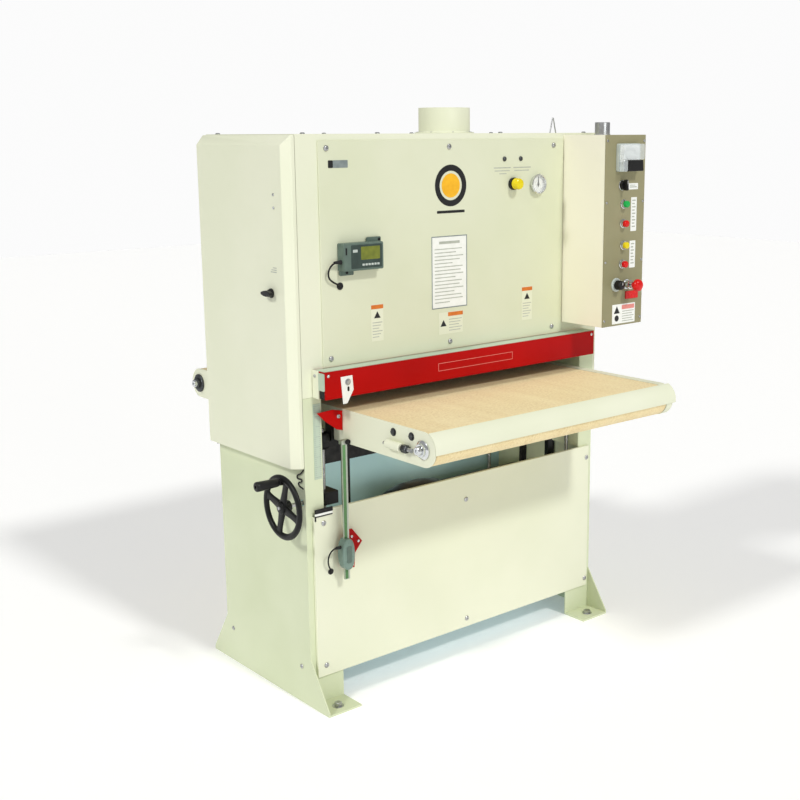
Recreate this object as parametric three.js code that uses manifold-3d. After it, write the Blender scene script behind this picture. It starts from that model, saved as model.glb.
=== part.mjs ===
// Wide-belt drum sander: a single sanding head over a feed table that rises on four screws.
//
// Millimetres, +Z up. The sizes below are measured from the front left corner of the base, where
// X runs to the right, Y to the rear and Z up from the floor. The last lines move the machine so
// that the part's own origin is on the floor, under the middle of its bounding box.

import * as THREE from "three";
import { mergeVertices } from "three/addons/utils/BufferGeometryUtils.js";
import Module from "manifold-3d";

const wasm = await Module();
wasm.setup();

// ---------------------------------------------------------------- driving dimensions

const GAP = 0.3; // between pieces that touch
const WIDTH = 1196; // base and head, left to right
const DEPTH = 477; // base and head, front to rear
const PLATE = 4; // base sheet metal
const SKIN = 3; // head sheet metal

const COLUMN_WIDTH = 62;
const FOOT_WIDTH = 117;
const FOOT_REACH = 90; // how far a foot runs out past the column
const FOOT_FLARE_TOP = 150;
const PANEL_BOTTOM = 91;
const PANEL_TOP = 605;
const SIDE_PLATE_TOP = 760;
const HEAD_BOTTOM = 941;
const ROOF_TOP = 1674;

const DRUM_Y = 238;
const DRUM_Z = 992;
const DRUM_RADIUS = 69;
const DRUM_LEFT = 130;
const DRUM_RIGHT = 1074;
const TENSION_ROLLER_Z = 1556;
const TENSION_ROLLER_RADIUS = 55;
const PINCH_RADIUS = 25;
const PINCH_OFFSET = 115; // pinch roller axis from the drum axis
const PINCH_Z = 946;

const MOTOR_Z = 400;
const MOTOR_STAND_TOP = 270;
const MOTOR_PULLEY_RADIUS = 70;
const DRUM_PULLEY_RADIUS = 55;
const PULLEY_LEFT = 1148;
const PULLEY_RIGHT = 1184;

const TABLE_TOP = 896;
const TABLE_BOTTOM = 797;
const TABLE_MIDDLE = (TABLE_TOP + TABLE_BOTTOM) / 2;
const NOSE_RADIUS = (TABLE_TOP - TABLE_BOTTOM) / 2;
const FRONT_ROLLER_Y = -383.5;
const REAR_ROLLER_Y = 817;
const FEED_ROLLER_RADIUS = 45;
const TABLE_LEFT = 126;
const TABLE_RIGHT = 1104;
const BELT_LEFT = 133;
const BELT_RIGHT = 1073;
const FRONT_BAR_RIGHT = 1113;

const SCREW_LEFT = 94;
const SCREW_RIGHT = 1119;
const SCREW_FRONT = 45;
const SCREW_REAR = 444;
const SCREW_RADIUS = 7;
const SCREW_TOP = 835;

const HANDWHEEL_Y = 20;
const HANDWHEEL_Z = 631;
const HANDWHEEL_RADIUS = 96;
const HANDLE_TIP = -152;

const BOX_LEFT = 1039;
const BOX_RIGHT = 1229;
const BOX_FRONT = -186;
const BOX_BOTTOM = 1055;
const BOX_TOP = 1667;

const COVER_FACE = -4; // outer face of the front cover plate

// ---------------------------------------------------------------- solids

const X = "x";
const Y = "y";
const Z = "z";

// Local z to each axis, so that a flat outline stands across it: (y, z), (x, z) or (x, y).
const ACROSS = {
  x: new THREE.Matrix4().makeBasis(
    new THREE.Vector3(0, 1, 0), new THREE.Vector3(0, 0, 1), new THREE.Vector3(1, 0, 0)),
  y: new THREE.Matrix4().makeBasis(
    new THREE.Vector3(1, 0, 0), new THREE.Vector3(0, 0, 1), new THREE.Vector3(0, -1, 0)),
  z: new THREE.Matrix4(),
};

// A closed three.js geometry as a manifold-3d solid, with its faces turned outward.
function solid(geometry) {
  const bare = geometry.clone();
  bare.deleteAttribute("normal");
  bare.deleteAttribute("uv");
  const merged = mergeVertices(bare, 1e-3);
  const index = merged.index.array;
  const kept = [];
  for (let i = 0; i < index.length; i += 3) {
    const [a, b, c] = [index[i], index[i + 1], index[i + 2]];
    if (a !== b && b !== c && a !== c) kept.push(a, b, c);
  }
  const make = (triVerts) => new wasm.Manifold(new wasm.Mesh({
    numProp: 3,
    vertProperties: new Float32Array(merged.attributes.position.array),
    triVerts: new Uint32Array(triVerts),
  }));
  const made = make(kept);
  return made.volume() > 0 ? made : make(kept.reverse());
}

function block(x0, x1, y0, y1, z0, z1) {
  const size = [Math.abs(x1 - x0), Math.abs(y1 - y0), Math.abs(z1 - z0)];
  const middle = [(x0 + x1) / 2, (y0 + y1) / 2, (z0 + z1) / 2];
  return solid(new THREE.BoxGeometry(...size).translate(...middle));
}

// An outline of [u, v] points, drawn across the axis, and pulled along it from one value to another.
function prism(axis, outline, from, to, hole) {
  const shape = new THREE.Shape(outline.map(([u, v]) => new THREE.Vector2(u, v)));
  if (hole) shape.holes.push(new THREE.Path(hole.map(([u, v]) => new THREE.Vector2(u, v))));
  const length = Math.abs(to - from);
  const start = axis === Y ? -Math.max(from, to) : Math.min(from, to);
  const pulled = new THREE.ExtrudeGeometry(shape, { depth: length, bevelEnabled: false });
  return solid(pulled.translate(0, 0, start).applyMatrix4(ACROSS[axis]));
}

// Points round a circle; the first is at angle start, in radians.
function arc(u, v, radius, start, end, steps) {
  return Array.from({ length: steps + 1 }, (_, i) => {
    const angle = start + ((end - start) * i) / steps;
    return [u + radius * Math.cos(angle), v + radius * Math.sin(angle)];
  });
}

// A round bar along an axis; u and v are its other two coordinates, in X, Y, Z order.
function rod(axis, radius, u, v, from, to, sides = 16) {
  return prism(axis, arc(u, v, radius, 0, 2 * Math.PI, sides).slice(0, sides), from, to);
}

// A turned piece about the axis through the origin: [along, radius] pairs from one end to the other.
function turned(axis, profile, sides = 20) {
  const closed = [[profile[0][0], 0], ...profile, [profile.at(-1)[0], 0]];
  const points = closed.map(([along, radius]) => new THREE.Vector2(radius, along));
  const lathe = new THREE.LatheGeometry(points, sides);
  if (axis === X) lathe.rotateZ(-Math.PI / 2);
  if (axis === Z) lathe.rotateX(Math.PI / 2);
  return solid(lathe);
}

// The outline of a band round two circles that stand at (u0, v0) and (u1, v1), v1 or u1 the larger.
function loop(u0, v0, r0, u1, v1, r1, steps = 10) {
  const lie = Math.atan2(v1 - v0, u1 - u0);
  const lean = Math.acos((r0 - r1) / Math.hypot(u1 - u0, v1 - v0));
  return [
    ...arc(u0, v0, r0, lie + lean, lie - lean + 2 * Math.PI, steps),
    ...arc(u1, v1, r1, lie - lean, lie + lean, steps),
  ];
}

const join = (...solids) => solids.reduce((sum, next) => sum.add(next));
const cut = (from, ...tools) => tools.reduce((rest, tool) => rest.subtract(tool), from);

// ---------------------------------------------------------------- meshes

const COLOURS = {
  cream: [0xeeecd6, 0.45, 0.0],
  olive: [0x8e9466, 0.5, 0.1],
  red: [0xb00808, 0.4, 0.0],
  yellow: [0xe2c61c, 0.4, 0.0],
  green: [0x1f9a4c, 0.4, 0.0],
  black: [0x161616, 0.5, 0.0],
  steel: [0xa8abac, 0.35, 1.0],
  dark_steel: [0x4a4c4e, 0.5, 0.8],
  rubber: [0x222222, 0.85, 0.0],
  belt: [0xe3cf9e, 0.8, 0.0],
  grit: [0x8a4a35, 0.95, 0.0],
  readout: [0x6f8476, 0.5, 0.1],
};

function mesh(name, shape, colour, [x, y, z] = [0, 0, 0]) {
  const { numProp, numVert, vertProperties, triVerts } = shape.getMesh();
  const positions = new Float32Array(numVert * 3);
  for (let i = 0; i < numVert; i++) {
    positions.set(vertProperties.subarray(i * numProp, i * numProp + 3), i * 3);
  }
  const geometry = new THREE.BufferGeometry()
    .setAttribute("position", new THREE.BufferAttribute(positions, 3))
    .setIndex(new THREE.BufferAttribute(triVerts, 1));
  const [hex, roughness, metalness] = COLOURS[colour];
  const material = new THREE.MeshStandardMaterial({
    color: hex, roughness, metalness, flatShading: true,
  });
  const made = new THREE.Mesh(geometry, material);
  made.name = name;
  made.position.set(x, y, z);
  return made;
}

// ---------------------------------------------------------------- base

// One side of the base: an outer plate with flared feet, a channel flange front and rear, and the
// foot flanges on the floor. place() turns a distance from the outer face into an X.
function sideFrame(place) {
  const rearToe = DEPTH + FOOT_REACH;
  const outer = prism(X, [
    [-FOOT_REACH, 0], [rearToe, 0], [rearToe, 12], [DEPTH, FOOT_FLARE_TOP], [DEPTH, SIDE_PLATE_TOP],
    [0, SIDE_PLATE_TOP], [0, FOOT_FLARE_TOP], [-FOOT_REACH, 12],
  ], place(0), place(PLATE));
  const flangeTop = HEAD_BOTTOM - GAP;
  const ends = [
    { face: 0, back: PLATE, toe: -FOOT_REACH, hole: -52 },
    { face: DEPTH, back: DEPTH - PLATE, toe: rearToe, hole: DEPTH + 52 },
  ];
  const flanges = ends.flatMap(({ face, back, toe }) => [
    block(place(0), place(COLUMN_WIDTH), face, back, 0, flangeTop),
    block(place(0), place(FOOT_WIDTH), face, back, 0, PANEL_BOTTOM),
    block(place(0), place(FOOT_WIDTH), toe, back, 0, 6),
  ]);
  const holes = ends.map(({ hole }) => rod(Z, 9, place(FOOT_WIDTH / 2), hole, -1, 7, 16));
  return cut(join(outer, ...flanges), ...holes);
}

function leftSideFrame() {
  const shaftHole = rod(X, 11, HANDWHEEL_Y, HANDWHEEL_Z, -1, PLATE + 1, 16);
  return cut(sideFrame((x) => x), shaftHole);
}

// The right column is closed on its inner side too, as the drive belts run up inside it.
function rightSideFrame() {
  const innerWall = block(WIDTH - COLUMN_WIDTH - 2, WIDTH - COLUMN_WIDTH + 1, 1, DEPTH - 1,
    PANEL_TOP + 1, HEAD_BOTTOM - GAP);
  return join(sideFrame((x) => WIDTH - x), innerWall);
}

const SCREW_PLACES = {
  front_left: [SCREW_LEFT, SCREW_FRONT],
  front_right: [SCREW_RIGHT, SCREW_FRONT],
  rear_left: [SCREW_LEFT, SCREW_REAR],
  rear_right: [SCREW_RIGHT, SCREW_REAR],
};
const FLOOR_BOTTOM = 92;
const FLOOR_TOP = 98;

// The floor and rear wall of the base are one folded sheet, with a bearing ring for each screw and
// a welded stand for the motor.
function basePan() {
  const inset = PLATE + GAP;
  const floor = block(inset, WIDTH - inset, inset, DEPTH - inset, FLOOR_BOTTOM, FLOOR_TOP);
  const rear = block(inset, WIDTH - inset, DEPTH - inset - PLATE, DEPTH - inset,
    FLOOR_BOTTOM, PANEL_TOP);
  const rings = Object.values(SCREW_PLACES).map(([x, y]) => cut(
    rod(Z, 17, x, y, FLOOR_TOP - 1, FLOOR_TOP + 10),
    rod(Z, SCREW_RADIUS + 0.5, x, y, FLOOR_TOP, FLOOR_TOP + 11),
  ));
  const standLegs = [852, 1030].map((x) => block(
    x, x + 8, DRUM_Y - 90, DRUM_Y + 90, FLOOR_TOP - 1, MOTOR_STAND_TOP - 2));
  const standTop = block(848, 1042, DRUM_Y - 95, DRUM_Y + 95, MOTOR_STAND_TOP - 8, MOTOR_STAND_TOP);
  return join(floor, rear, ...rings, ...standLegs, standTop);
}

// A shallow pan with its edges folded back to the columns, and a notch in its upper left corner.
function baseFrontPanel() {
  const [left, right, fold] = [20, WIDTH - 20, 10];
  const notch = block(left - 1, 84, -fold - 1, 1, PANEL_TOP - 16, PANEL_TOP + 1);
  const sheet = block(left, right, -fold - GAP, -GAP, PANEL_BOTTOM, PANEL_TOP);
  const hollow = block(left + 3, right - 3, -fold - GAP + 3, 1, PANEL_BOTTOM + 3, PANEL_TOP - 3);
  return cut(sheet, hollow, notch);
}

const base = new THREE.Group();
base.add(
  mesh("left_side_frame", leftSideFrame(), "cream"),
  mesh("right_side_frame", rightSideFrame(), "cream"),
  mesh("base_pan", basePan(), "cream"),
  mesh("base_front_panel", baseFrontPanel(), "cream"),
);

// ---------------------------------------------------------------- main drive

// The pulley and belts run in the right column; the pulleys are both in line there.
// The motor is about its own axis: a domed fan cowl, then the body, feet and terminal box.
function mainMotor() {
  const body = turned(X, [
    [490, 90], [510, 115], [560, 130], [640, 133], [700, 122], [700, 110], [1085, 110], [1095, 70],
  ]);
  const feet = block(856, 1034, -85, 85, MOTOR_STAND_TOP + GAP - MOTOR_Z, -80);
  const terminalBox = block(880, 980, 95, 150, -45, 45);
  const shaftBore = rod(X, 19.5, 0, 0, 1055, 1100);
  return cut(join(body, feet, terminalBox), shaftBore);
}

const motorPulley = () => turned(X, [
  [1060, 19], [PULLEY_LEFT, 19], [PULLEY_LEFT, MOTOR_PULLEY_RADIUS],
  [PULLEY_RIGHT, MOTOR_PULLEY_RADIUS], [PULLEY_RIGHT, 19], [PULLEY_RIGHT + 4, 19],
], 24);

const drumPulley = () => cut(
  rod(X, DRUM_PULLEY_RADIUS, 0, 0, PULLEY_LEFT, PULLEY_RIGHT, 24),
  rod(X, 17.9, 0, 0, PULLEY_LEFT - 1, PULLEY_RIGHT + 1),
);

function driveBelts() {
  const [lowRadius, highRadius] = [MOTOR_PULLEY_RADIUS + 1, DRUM_PULLEY_RADIUS + 1];
  const around = (thickness) => loop(
    DRUM_Y, MOTOR_Z, lowRadius + thickness, DRUM_Y, DRUM_Z, highRadius + thickness);
  return prism(X, around(8), PULLEY_LEFT + 2, PULLEY_RIGHT - 2, around(0));
}

const drive = new THREE.Group();
drive.add(
  mesh("main_motor", mainMotor(), "black", [0, DRUM_Y, MOTOR_Z]),
  mesh("motor_pulley", motorPulley(), "dark_steel", [0, DRUM_Y, MOTOR_Z]),
  mesh("drum_pulley", drumPulley(), "dark_steel", [0, DRUM_Y, DRUM_Z]),
  mesh("drive_belts", driveBelts(), "rubber"),
);

// ---------------------------------------------------------------- sanding head

const DUCT = { x: 689, y: 186, radius: 81.5, top: 1753 };

// Front, rear and roof are one welded shell, open below and at both sides, with a jamb round each
// side opening. An inner wall carries the beam, and the pulleys run in the bay to its right.
function headShell() {
  const wallLeft = WIDTH - COLUMN_WIDTH - 2;
  const wallRight = wallLeft + SKIN;
  const [lip, jamb, header] = [24, 38, 34];
  const bays = [[SKIN, wallLeft], [wallRight, WIDTH - SKIN]].flatMap(([x0, x1]) => [
    block(x0, x1, SKIN, DEPTH - SKIN, HEAD_BOTTOM + SKIN, ROOF_TOP - SKIN),
    block(x0, x1, lip, DEPTH - lip, HEAD_BOTTOM - 1, HEAD_BOTTOM + SKIN + 1),
  ]);
  const sideOpenings = [[-1, SKIN + 1], [WIDTH - SKIN - 1, WIDTH + 1]].map(
    ([x0, x1]) => block(x0, x1, jamb, DEPTH - jamb, HEAD_BOTTOM - 1, ROOF_TOP - header));
  const ductHole = rod(Z, DUCT.radius - 3, DUCT.x, DUCT.y, ROOF_TOP - SKIN - 1, ROOF_TOP + 1, 24);
  const shaftHole = rod(X, 30, DRUM_Y, DRUM_Z, wallLeft - 1, wallRight + 1);
  const whole = block(0, WIDTH, 0, DEPTH, HEAD_BOTTOM, ROOF_TOP);
  return cut(whole, ...bays, ...sideOpenings, ductHole, shaftHole);
}

const frontCoverPlate = () => block(72, BOX_LEFT - 3, COVER_FACE, -GAP, 1021, 1656);

function dustPort() {
  const foot = ROOF_TOP + GAP;
  const wall = rod(Z, DUCT.radius, DUCT.x, DUCT.y, foot, DUCT.top, 24);
  const flange = rod(Z, DUCT.radius + 13, DUCT.x, DUCT.y, foot, foot + SKIN, 24);
  const bore = rod(Z, DUCT.radius - 2.5, DUCT.x, DUCT.y, foot - 1, DUCT.top + 1, 24);
  return cut(join(wall, flange), bore);
}

// The cover over the pulleys on the right side, a pan that is open towards the machine.
function rightSideCover() {
  const [inner, outer] = [WIDTH + GAP, WIDTH + 18];
  const pan = block(inner, outer, 6, DEPTH - 6, 745, 1650);
  const hollow = block(inner - 1, outer - 2.5, 8.5, DEPTH - 8.5, 747.5, 1647.5);
  return cut(pan, hollow);
}

const BEAM = { bottom: 1095, top: 1215, halfDepth: 35 };
const POST_X = 602;
const CYLINDER_X = 760;

// A bearing hanger under the beam, with the drum shaft's bore.
function hanger(left, right) {
  const half = 40;
  const outline = [
    [DRUM_Y + half, BEAM.bottom], [DRUM_Y - half, BEAM.bottom],
    ...arc(DRUM_Y, DRUM_Z, half, Math.PI, 2 * Math.PI, 10),
  ];
  return cut(prism(X, outline, left, right), rod(X, 18.2, DRUM_Y, DRUM_Z, left - 1, right + 1));
}

// A cantilevered box beam from the inner wall, with the right bearing hanger welded under it.
function headBeam() {
  const [front, rear] = [DRUM_Y - BEAM.halfDepth, DRUM_Y + BEAM.halfDepth];
  const right = WIDTH - COLUMN_WIDTH - 2 - GAP;
  const tube = cut(
    block(90, right, front, rear, BEAM.bottom, BEAM.top),
    block(89, right - 10, front + 6, rear - 6, BEAM.bottom + 6, BEAM.top - 6),
  );
  const postGuide = rod(Z, 32, POST_X, DRUM_Y, BEAM.top - 1, BEAM.top + 45);
  const postBore = rod(Z, 20.6, POST_X, DRUM_Y, BEAM.top - 7, BEAM.top + 46);
  return join(cut(join(tube, postGuide), postBore), hanger(1084, 1112));
}

const drumBearingLeft = () => cut(
  hanger(98, 122), block(97, 123, DRUM_Y - 60, DRUM_Y + 60, BEAM.bottom - GAP, BEAM.bottom + 1));

const contactDrum = () => turned(X, [
  [92, 17.5], [DRUM_LEFT, 17.5], [DRUM_LEFT, DRUM_RADIUS], [DRUM_RIGHT, DRUM_RADIUS],
  [DRUM_RIGHT, 17.5], [PULLEY_RIGHT + 4, 17.5],
], 24);

const tensionRoller = () => turned(X, [
  [101, 12.5], [DRUM_LEFT, 12.5], [DRUM_LEFT, TENSION_ROLLER_RADIUS],
  [DRUM_RIGHT, TENSION_ROLLER_RADIUS], [DRUM_RIGHT, 12.5], [1103, 12.5],
], 24);

// The yoke that lifts the upper roller: a bar, two cheeks, the guide post and the cylinder's rod.
function tensionYoke() {
  const [front, rear] = [DRUM_Y - 22, DRUM_Y + 22];
  const bar = block(98, 1106, front, rear, 1440, 1475);
  const cheeks = [98, 1094].map((x) => cut(
    block(x, x + 12, front, rear, 1440, 1582),
    rod(X, 13, DRUM_Y, TENSION_ROLLER_Z, x - 1, x + 13),
  ));
  const post = rod(Z, 20, POST_X, DRUM_Y, 1150, 1450);
  const pistonRod = rod(Z, 8, CYLINDER_X, DRUM_Y, 1300, 1450, 16);
  return join(bar, ...cheeks, post, pistonRod);
}

const tensionCylinder = () => cut(
  rod(Z, 30, CYLINDER_X, DRUM_Y, BEAM.top + GAP, 1350),
  rod(Z, 8.6, CYLINDER_X, DRUM_Y, 1270, 1351, 16),
);

function abrasiveBelt() {
  const around = (clear) => loop(
    DRUM_Y, DRUM_Z, DRUM_RADIUS + clear, DRUM_Y, TENSION_ROLLER_Z, TENSION_ROLLER_RADIUS + clear, 16);
  return prism(X, around(2.3), DRUM_LEFT + 1, DRUM_RIGHT - 1, around(0.8));
}

// A sprung bar that carries a pinch roller in front of the drum (side -1) or behind it (side 1).
function pressureBar(side) {
  const at = (offset) => DRUM_Y + side * offset;
  const plate = block(100, 1104, at(172), at(178), 950, 1040);
  const lugs = [100, 1098].map((x) => cut(
    block(x, x + 6, at(103), at(178), 935, 985),
    rod(X, 8.5, at(PINCH_OFFSET), PINCH_Z, x - 1, x + 7, 16),
  ));
  return join(plate, ...lugs);
}

const pinchRoller = () => turned(X, [
  [101, 8], [112, 8], [112, PINCH_RADIUS], [1092, PINCH_RADIUS], [1092, 8], [1103, 8],
], 16);

const head = new THREE.Group();
head.add(
  mesh("head_shell", headShell(), "cream"),
  mesh("front_cover_plate", frontCoverPlate(), "cream"),
  mesh("right_side_cover", rightSideCover(), "cream"),
  mesh("dust_port", dustPort(), "cream"),
  mesh("head_beam", headBeam(), "dark_steel"),
  mesh("drum_bearing_left", drumBearingLeft(), "dark_steel"),
  mesh("contact_drum", contactDrum(), "rubber", [0, DRUM_Y, DRUM_Z]),
  mesh("tension_roller", tensionRoller(), "steel", [0, DRUM_Y, TENSION_ROLLER_Z]),
  mesh("tension_yoke", tensionYoke(), "dark_steel"),
  mesh("tension_cylinder", tensionCylinder(), "steel"),
  mesh("abrasive_belt", abrasiveBelt(), "grit"),
  mesh("front_pressure_bar", pressureBar(-1), "dark_steel"),
  mesh("rear_pressure_bar", pressureBar(1), "dark_steel"),
  mesh("front_pinch_roller", pinchRoller(), "rubber", [0, DRUM_Y - PINCH_OFFSET, PINCH_Z]),
  mesh("rear_pinch_roller", pinchRoller(), "rubber", [0, DRUM_Y + PINCH_OFFSET, PINCH_Z]),
);

// ---------------------------------------------------------------- belt door

const DOOR_FACE = -35;
const DOOR_BOTTOM = 737;
const DOOR_TOP = 1672;
const LATCH = { y: 86, z: 1237 };

// A pan with its front and top edges bevelled back to the machine, inset by skin on its inside.
function doorSolid(skin) {
  const plan = [
    [-GAP + (skin ? 1 : 0), skin], [-12 + skin / 2, skin], [DOOR_FACE + skin, 20 + skin / 2],
    [DOOR_FACE + skin, DEPTH - 2 - skin], [-GAP + (skin ? 1 : 0), DEPTH - 2 - skin],
  ];
  const pan = prism(Z, plan, DOOR_BOTTOM + skin, DOOR_TOP - skin);
  const bevel = prism(Y, [
    [DOOR_FACE - 1, DOOR_TOP - 28 - skin], [DOOR_FACE + skin, DOOR_TOP - 28 - skin],
    [-12 + skin / 2, DOOR_TOP - skin], [-12 + skin / 2, DOOR_TOP + 1], [DOOR_FACE - 1, DOOR_TOP + 1],
  ], -1, DEPTH);
  return cut(pan, bevel);
}

const beltDoor = () => cut(
  doorSolid(0), doorSolid(2.5), rod(X, 6.6, LATCH.y, LATCH.z, DOOR_FACE - 1, DOOR_FACE + 4, 16));

// A quarter-turn latch: a wing outside the door and a tongue behind its skin.
function doorLatch() {
  const spindle = rod(X, 6, 0, 0, DOOR_FACE - 12, DOOR_FACE + 10, 16);
  const wing = block(DOOR_FACE - 22, DOOR_FACE - 9, -24, 24, -6, 6);
  const collar = rod(X, 12, 0, 0, DOOR_FACE - 9.5, DOOR_FACE - 1, 16);
  const tongue = block(DOOR_FACE + 7, DOOR_FACE + 10, -30, 8, -8, 8);
  return join(spindle, wing, collar, tongue);
}

const door = new THREE.Group();
door.add(
  mesh("belt_door", beltDoor(), "cream"),
  mesh("door_latch", doorLatch(), "black", [0, LATCH.y, LATCH.z]),
);

// ---------------------------------------------------------------- controls

const PUSH_BUTTONS = {
  sander_start_button: { x: 1127, z: 1449, colour: "green" },
  sander_stop_button: { x: 1126, z: 1387, colour: "red" },
  feed_start_button: { x: 1129, z: 1317, colour: "yellow" },
  feed_stop_button: { x: 1126, z: 1256, colour: "red" },
};
const SELECTOR = { x: 1118, z: 1509 };
const SPEED_KNOB = { x: 1100, z: 1190 };
const ESTOP = { x: 1148, z: 1189 };
const CONTROL_HOLE = 8.5;

function controlBox() {
  const [front, back] = [BOX_FRONT + SKIN + GAP, -GAP];
  const shell = block(BOX_LEFT, BOX_RIGHT, front, back, BOX_BOTTOM, BOX_TOP);
  const hollow = block(BOX_LEFT + 2, BOX_RIGHT - 2, front - 1, back - 2, BOX_BOTTOM + 2, BOX_TOP - 2);
  return cut(shell, hollow);
}

function controlPlate() {
  const plate = block(BOX_LEFT, BOX_RIGHT, BOX_FRONT, BOX_FRONT + SKIN, BOX_BOTTOM, BOX_TOP);
  const places = [...Object.values(PUSH_BUTTONS), SELECTOR, SPEED_KNOB, ESTOP];
  const holes = places.map(({ x, z }) => rod(
    Y, CONTROL_HOLE, x, z, BOX_FRONT - 1, BOX_FRONT + SKIN + 1, 16));
  return cut(plate, ...holes);
}

// The controls are turned about Y, with 0 at the plate's face and the operator at minus Y.
const pushButton = () => turned(Y, [[-21, 9], [-20, 11], [-10, 11], [-10, 7], [16, 7]], 20);
const speedKnob = () => turned(Y, [[-30, 12], [-28, 14], [-6, 15], [-6, 6], [14, 6]], 20);
const estopButton = () => turned(Y, [
  [-64, 8], [-61, 16], [-55, 20], [-46, 20], [-42, 9], [-42, 7], [16, 7],
], 24);

function selectorSwitch() {
  const stem = turned(Y, [[-12, 14], [-4, 15], [-4, 6], [14, 6]], 20);
  const wing = prism(Y, [[-5, -15], [5, -15], [5, 15], [0, 19], [-5, 15]], -26, -11);
  return join(stem, wing);
}

const REGULATOR = { x: 809, z: 1518 };
const GAUGE = { x: 914, z: 1514 };

const regulatorKnob = () => turned(Y, [[-36, 14], [-33, 17.5], [-14, 17.5], [-12, 14], [-GAP, 14]]);

// A cup with its dial at the bottom, so that the needle can turn in front of it.
function pressureGauge() {
  const body = turned(Y, [[-16, 30], [-13, 32], [-GAP, 28]], 24);
  const well = rod(Y, 27.5, 0, 0, -17, -6, 24);
  const needlePin = rod(Y, 1.5, 0, 0, -7, -5, 8);
  return cut(body, well, needlePin);
}

const gaugeNeedle = () => join(
  turned(Y, [[-11.2, 3], [-8.4, 3]], 12),
  prism(Y, [[-1.6, -8], [1.6, -8], [0.5, 23], [-0.5, 23]], -10.6, -9.2),
);

const READOUT = { left: 129, right: 268, bottom: 1294, top: 1372, front: -38 };

function readoutBox() {
  const { left, right, bottom, top, front } = READOUT;
  const body = block(left, right, front, COVER_FACE - GAP, bottom, top);
  const window_ = block(left + 62, right - 12, front - 1, front + 2, bottom + 30, top - 10);
  return cut(body, window_);
}

// The lead from the plug on the readout's left side, round in a loop to its hole in the cover.
const READOUT_CABLE = [
  [128.5, -22, 1320], [118, -22, 1320], [107, -21, 1318], [97, -20, 1312], [90, -19, 1302],
  [88, -17, 1289], [92, -15, 1277], [101, -14, 1268], [113, -12.5, 1261], [124, -11, 1256],
  [131, -9.6, 1252.5], [134, -8, 1251], [134.6, -6.4, 1250.8],
];
const SCALE_CABLE = [
  [79.5, -46, 494], [70, -46, 495], [61, -44, 491], [54, -40, 482], [51, -35, 469],
  [52, -30, 455], [56, -26, 441], [62, -22, 430], [68, -18.5, 421], [71.5, -15.5, 416],
  [73, -13.2, 413.5],
];

function cable(points, radius) {
  const path = new THREE.CatmullRomCurve3(points.map((p) => new THREE.Vector3(...p)));
  const section = new THREE.Shape(
    arc(0, 0, radius, 0, 2 * Math.PI, 8).slice(0, 8).map(([u, v]) => new THREE.Vector2(u, v)));
  return solid(new THREE.ExtrudeGeometry(section, {
    steps: points.length + 4, extrudePath: path, bevelEnabled: false,
  }));
}

const GUARD = { left: 38, right: 1139, front: -58, bottom: 941, top: 1020 };

// The red bar across the infeed, hung from a flange along its top edge.
function guardBar() {
  const { left, right, front, bottom, top } = GUARD;
  const face = block(left, right, front, front + SKIN, bottom, top);
  const flange = block(left, right, front, -8, top - SKIN, top);
  const cheeks = [[left, left + SKIN], [right - SKIN, right]].map(([x0, x1]) => prism(X, [
    [front, bottom + 20], [-8, top - 34], [-8, top], [front, top],
  ], x0, x1));
  return join(face, flange, ...cheeks);
}

const controls = new THREE.Group();
controls.add(
  mesh("control_box", controlBox(), "cream"),
  mesh("control_plate", controlPlate(), "olive"),
  mesh("selector_switch", selectorSwitch(), "black", [SELECTOR.x, BOX_FRONT, SELECTOR.z]),
  mesh("speed_knob", speedKnob(), "black", [SPEED_KNOB.x, BOX_FRONT, SPEED_KNOB.z]),
  mesh("estop_button", estopButton(), "red", [ESTOP.x, BOX_FRONT, ESTOP.z]),
  mesh("regulator_knob", regulatorKnob(), "yellow", [REGULATOR.x, COVER_FACE, REGULATOR.z]),
  mesh("pressure_gauge", pressureGauge(), "steel", [GAUGE.x, COVER_FACE, GAUGE.z]),
  mesh("gauge_needle", gaugeNeedle(), "black", [GAUGE.x, COVER_FACE, GAUGE.z]),
  mesh("readout_box", readoutBox(), "readout"),
  mesh("readout_cable", cable(READOUT_CABLE, 2.6), "black"),
  mesh("guard_bar", guardBar(), "red"),
);
for (const [name, { x, z, colour }] of Object.entries(PUSH_BUTTONS)) {
  controls.add(mesh(name, pushButton(), colour, [x, BOX_FRONT, z]));
}

// ---------------------------------------------------------------- feed table

// The side of the table, with a half-round nose at each end, drawn smaller by inset.
const tableSide = (inset) => loop(
  FRONT_ROLLER_Y, TABLE_MIDDLE, NOSE_RADIUS - inset,
  REAR_ROLLER_Y, TABLE_MIDDLE, NOSE_RADIUS - inset, 12);

const rollerHoles = (from, to) => [FRONT_ROLLER_Y, REAR_ROLLER_Y].map(
  (y) => rod(X, 12.7, y, TABLE_MIDDLE, from, to));

const tableLeftPlate = () => cut(
  prism(X, tableSide(0), TABLE_LEFT, TABLE_LEFT + PLATE),
  ...rollerHoles(TABLE_LEFT - 1, TABLE_LEFT + PLATE + 1));

// The right side is a channel, open outward, wide enough to hide the roller bearings.
const tableRightPlate = () => cut(
  prism(X, tableSide(0), TABLE_RIGHT - 28, TABLE_RIGHT),
  prism(X, tableSide(PLATE), TABLE_RIGHT - 24, TABLE_RIGHT + 1),
  ...rollerHoles(TABLE_RIGHT - 29, TABLE_RIGHT - 23));

function tableBed() {
  const [left, right] = [TABLE_LEFT + PLATE + GAP, TABLE_RIGHT - 28 - GAP];
  const [front, rear, top] = [FRONT_ROLLER_Y + 50, REAR_ROLLER_Y - 50, 891.5];
  const plate = block(left, right, front, rear, top - 6, top);
  const ribs = [front, -100, 200, 500, rear - 5].map(
    (y) => block(left, right, y, y + 5, top - 60, top - 1));
  return join(plate, ...ribs);
}

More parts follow.
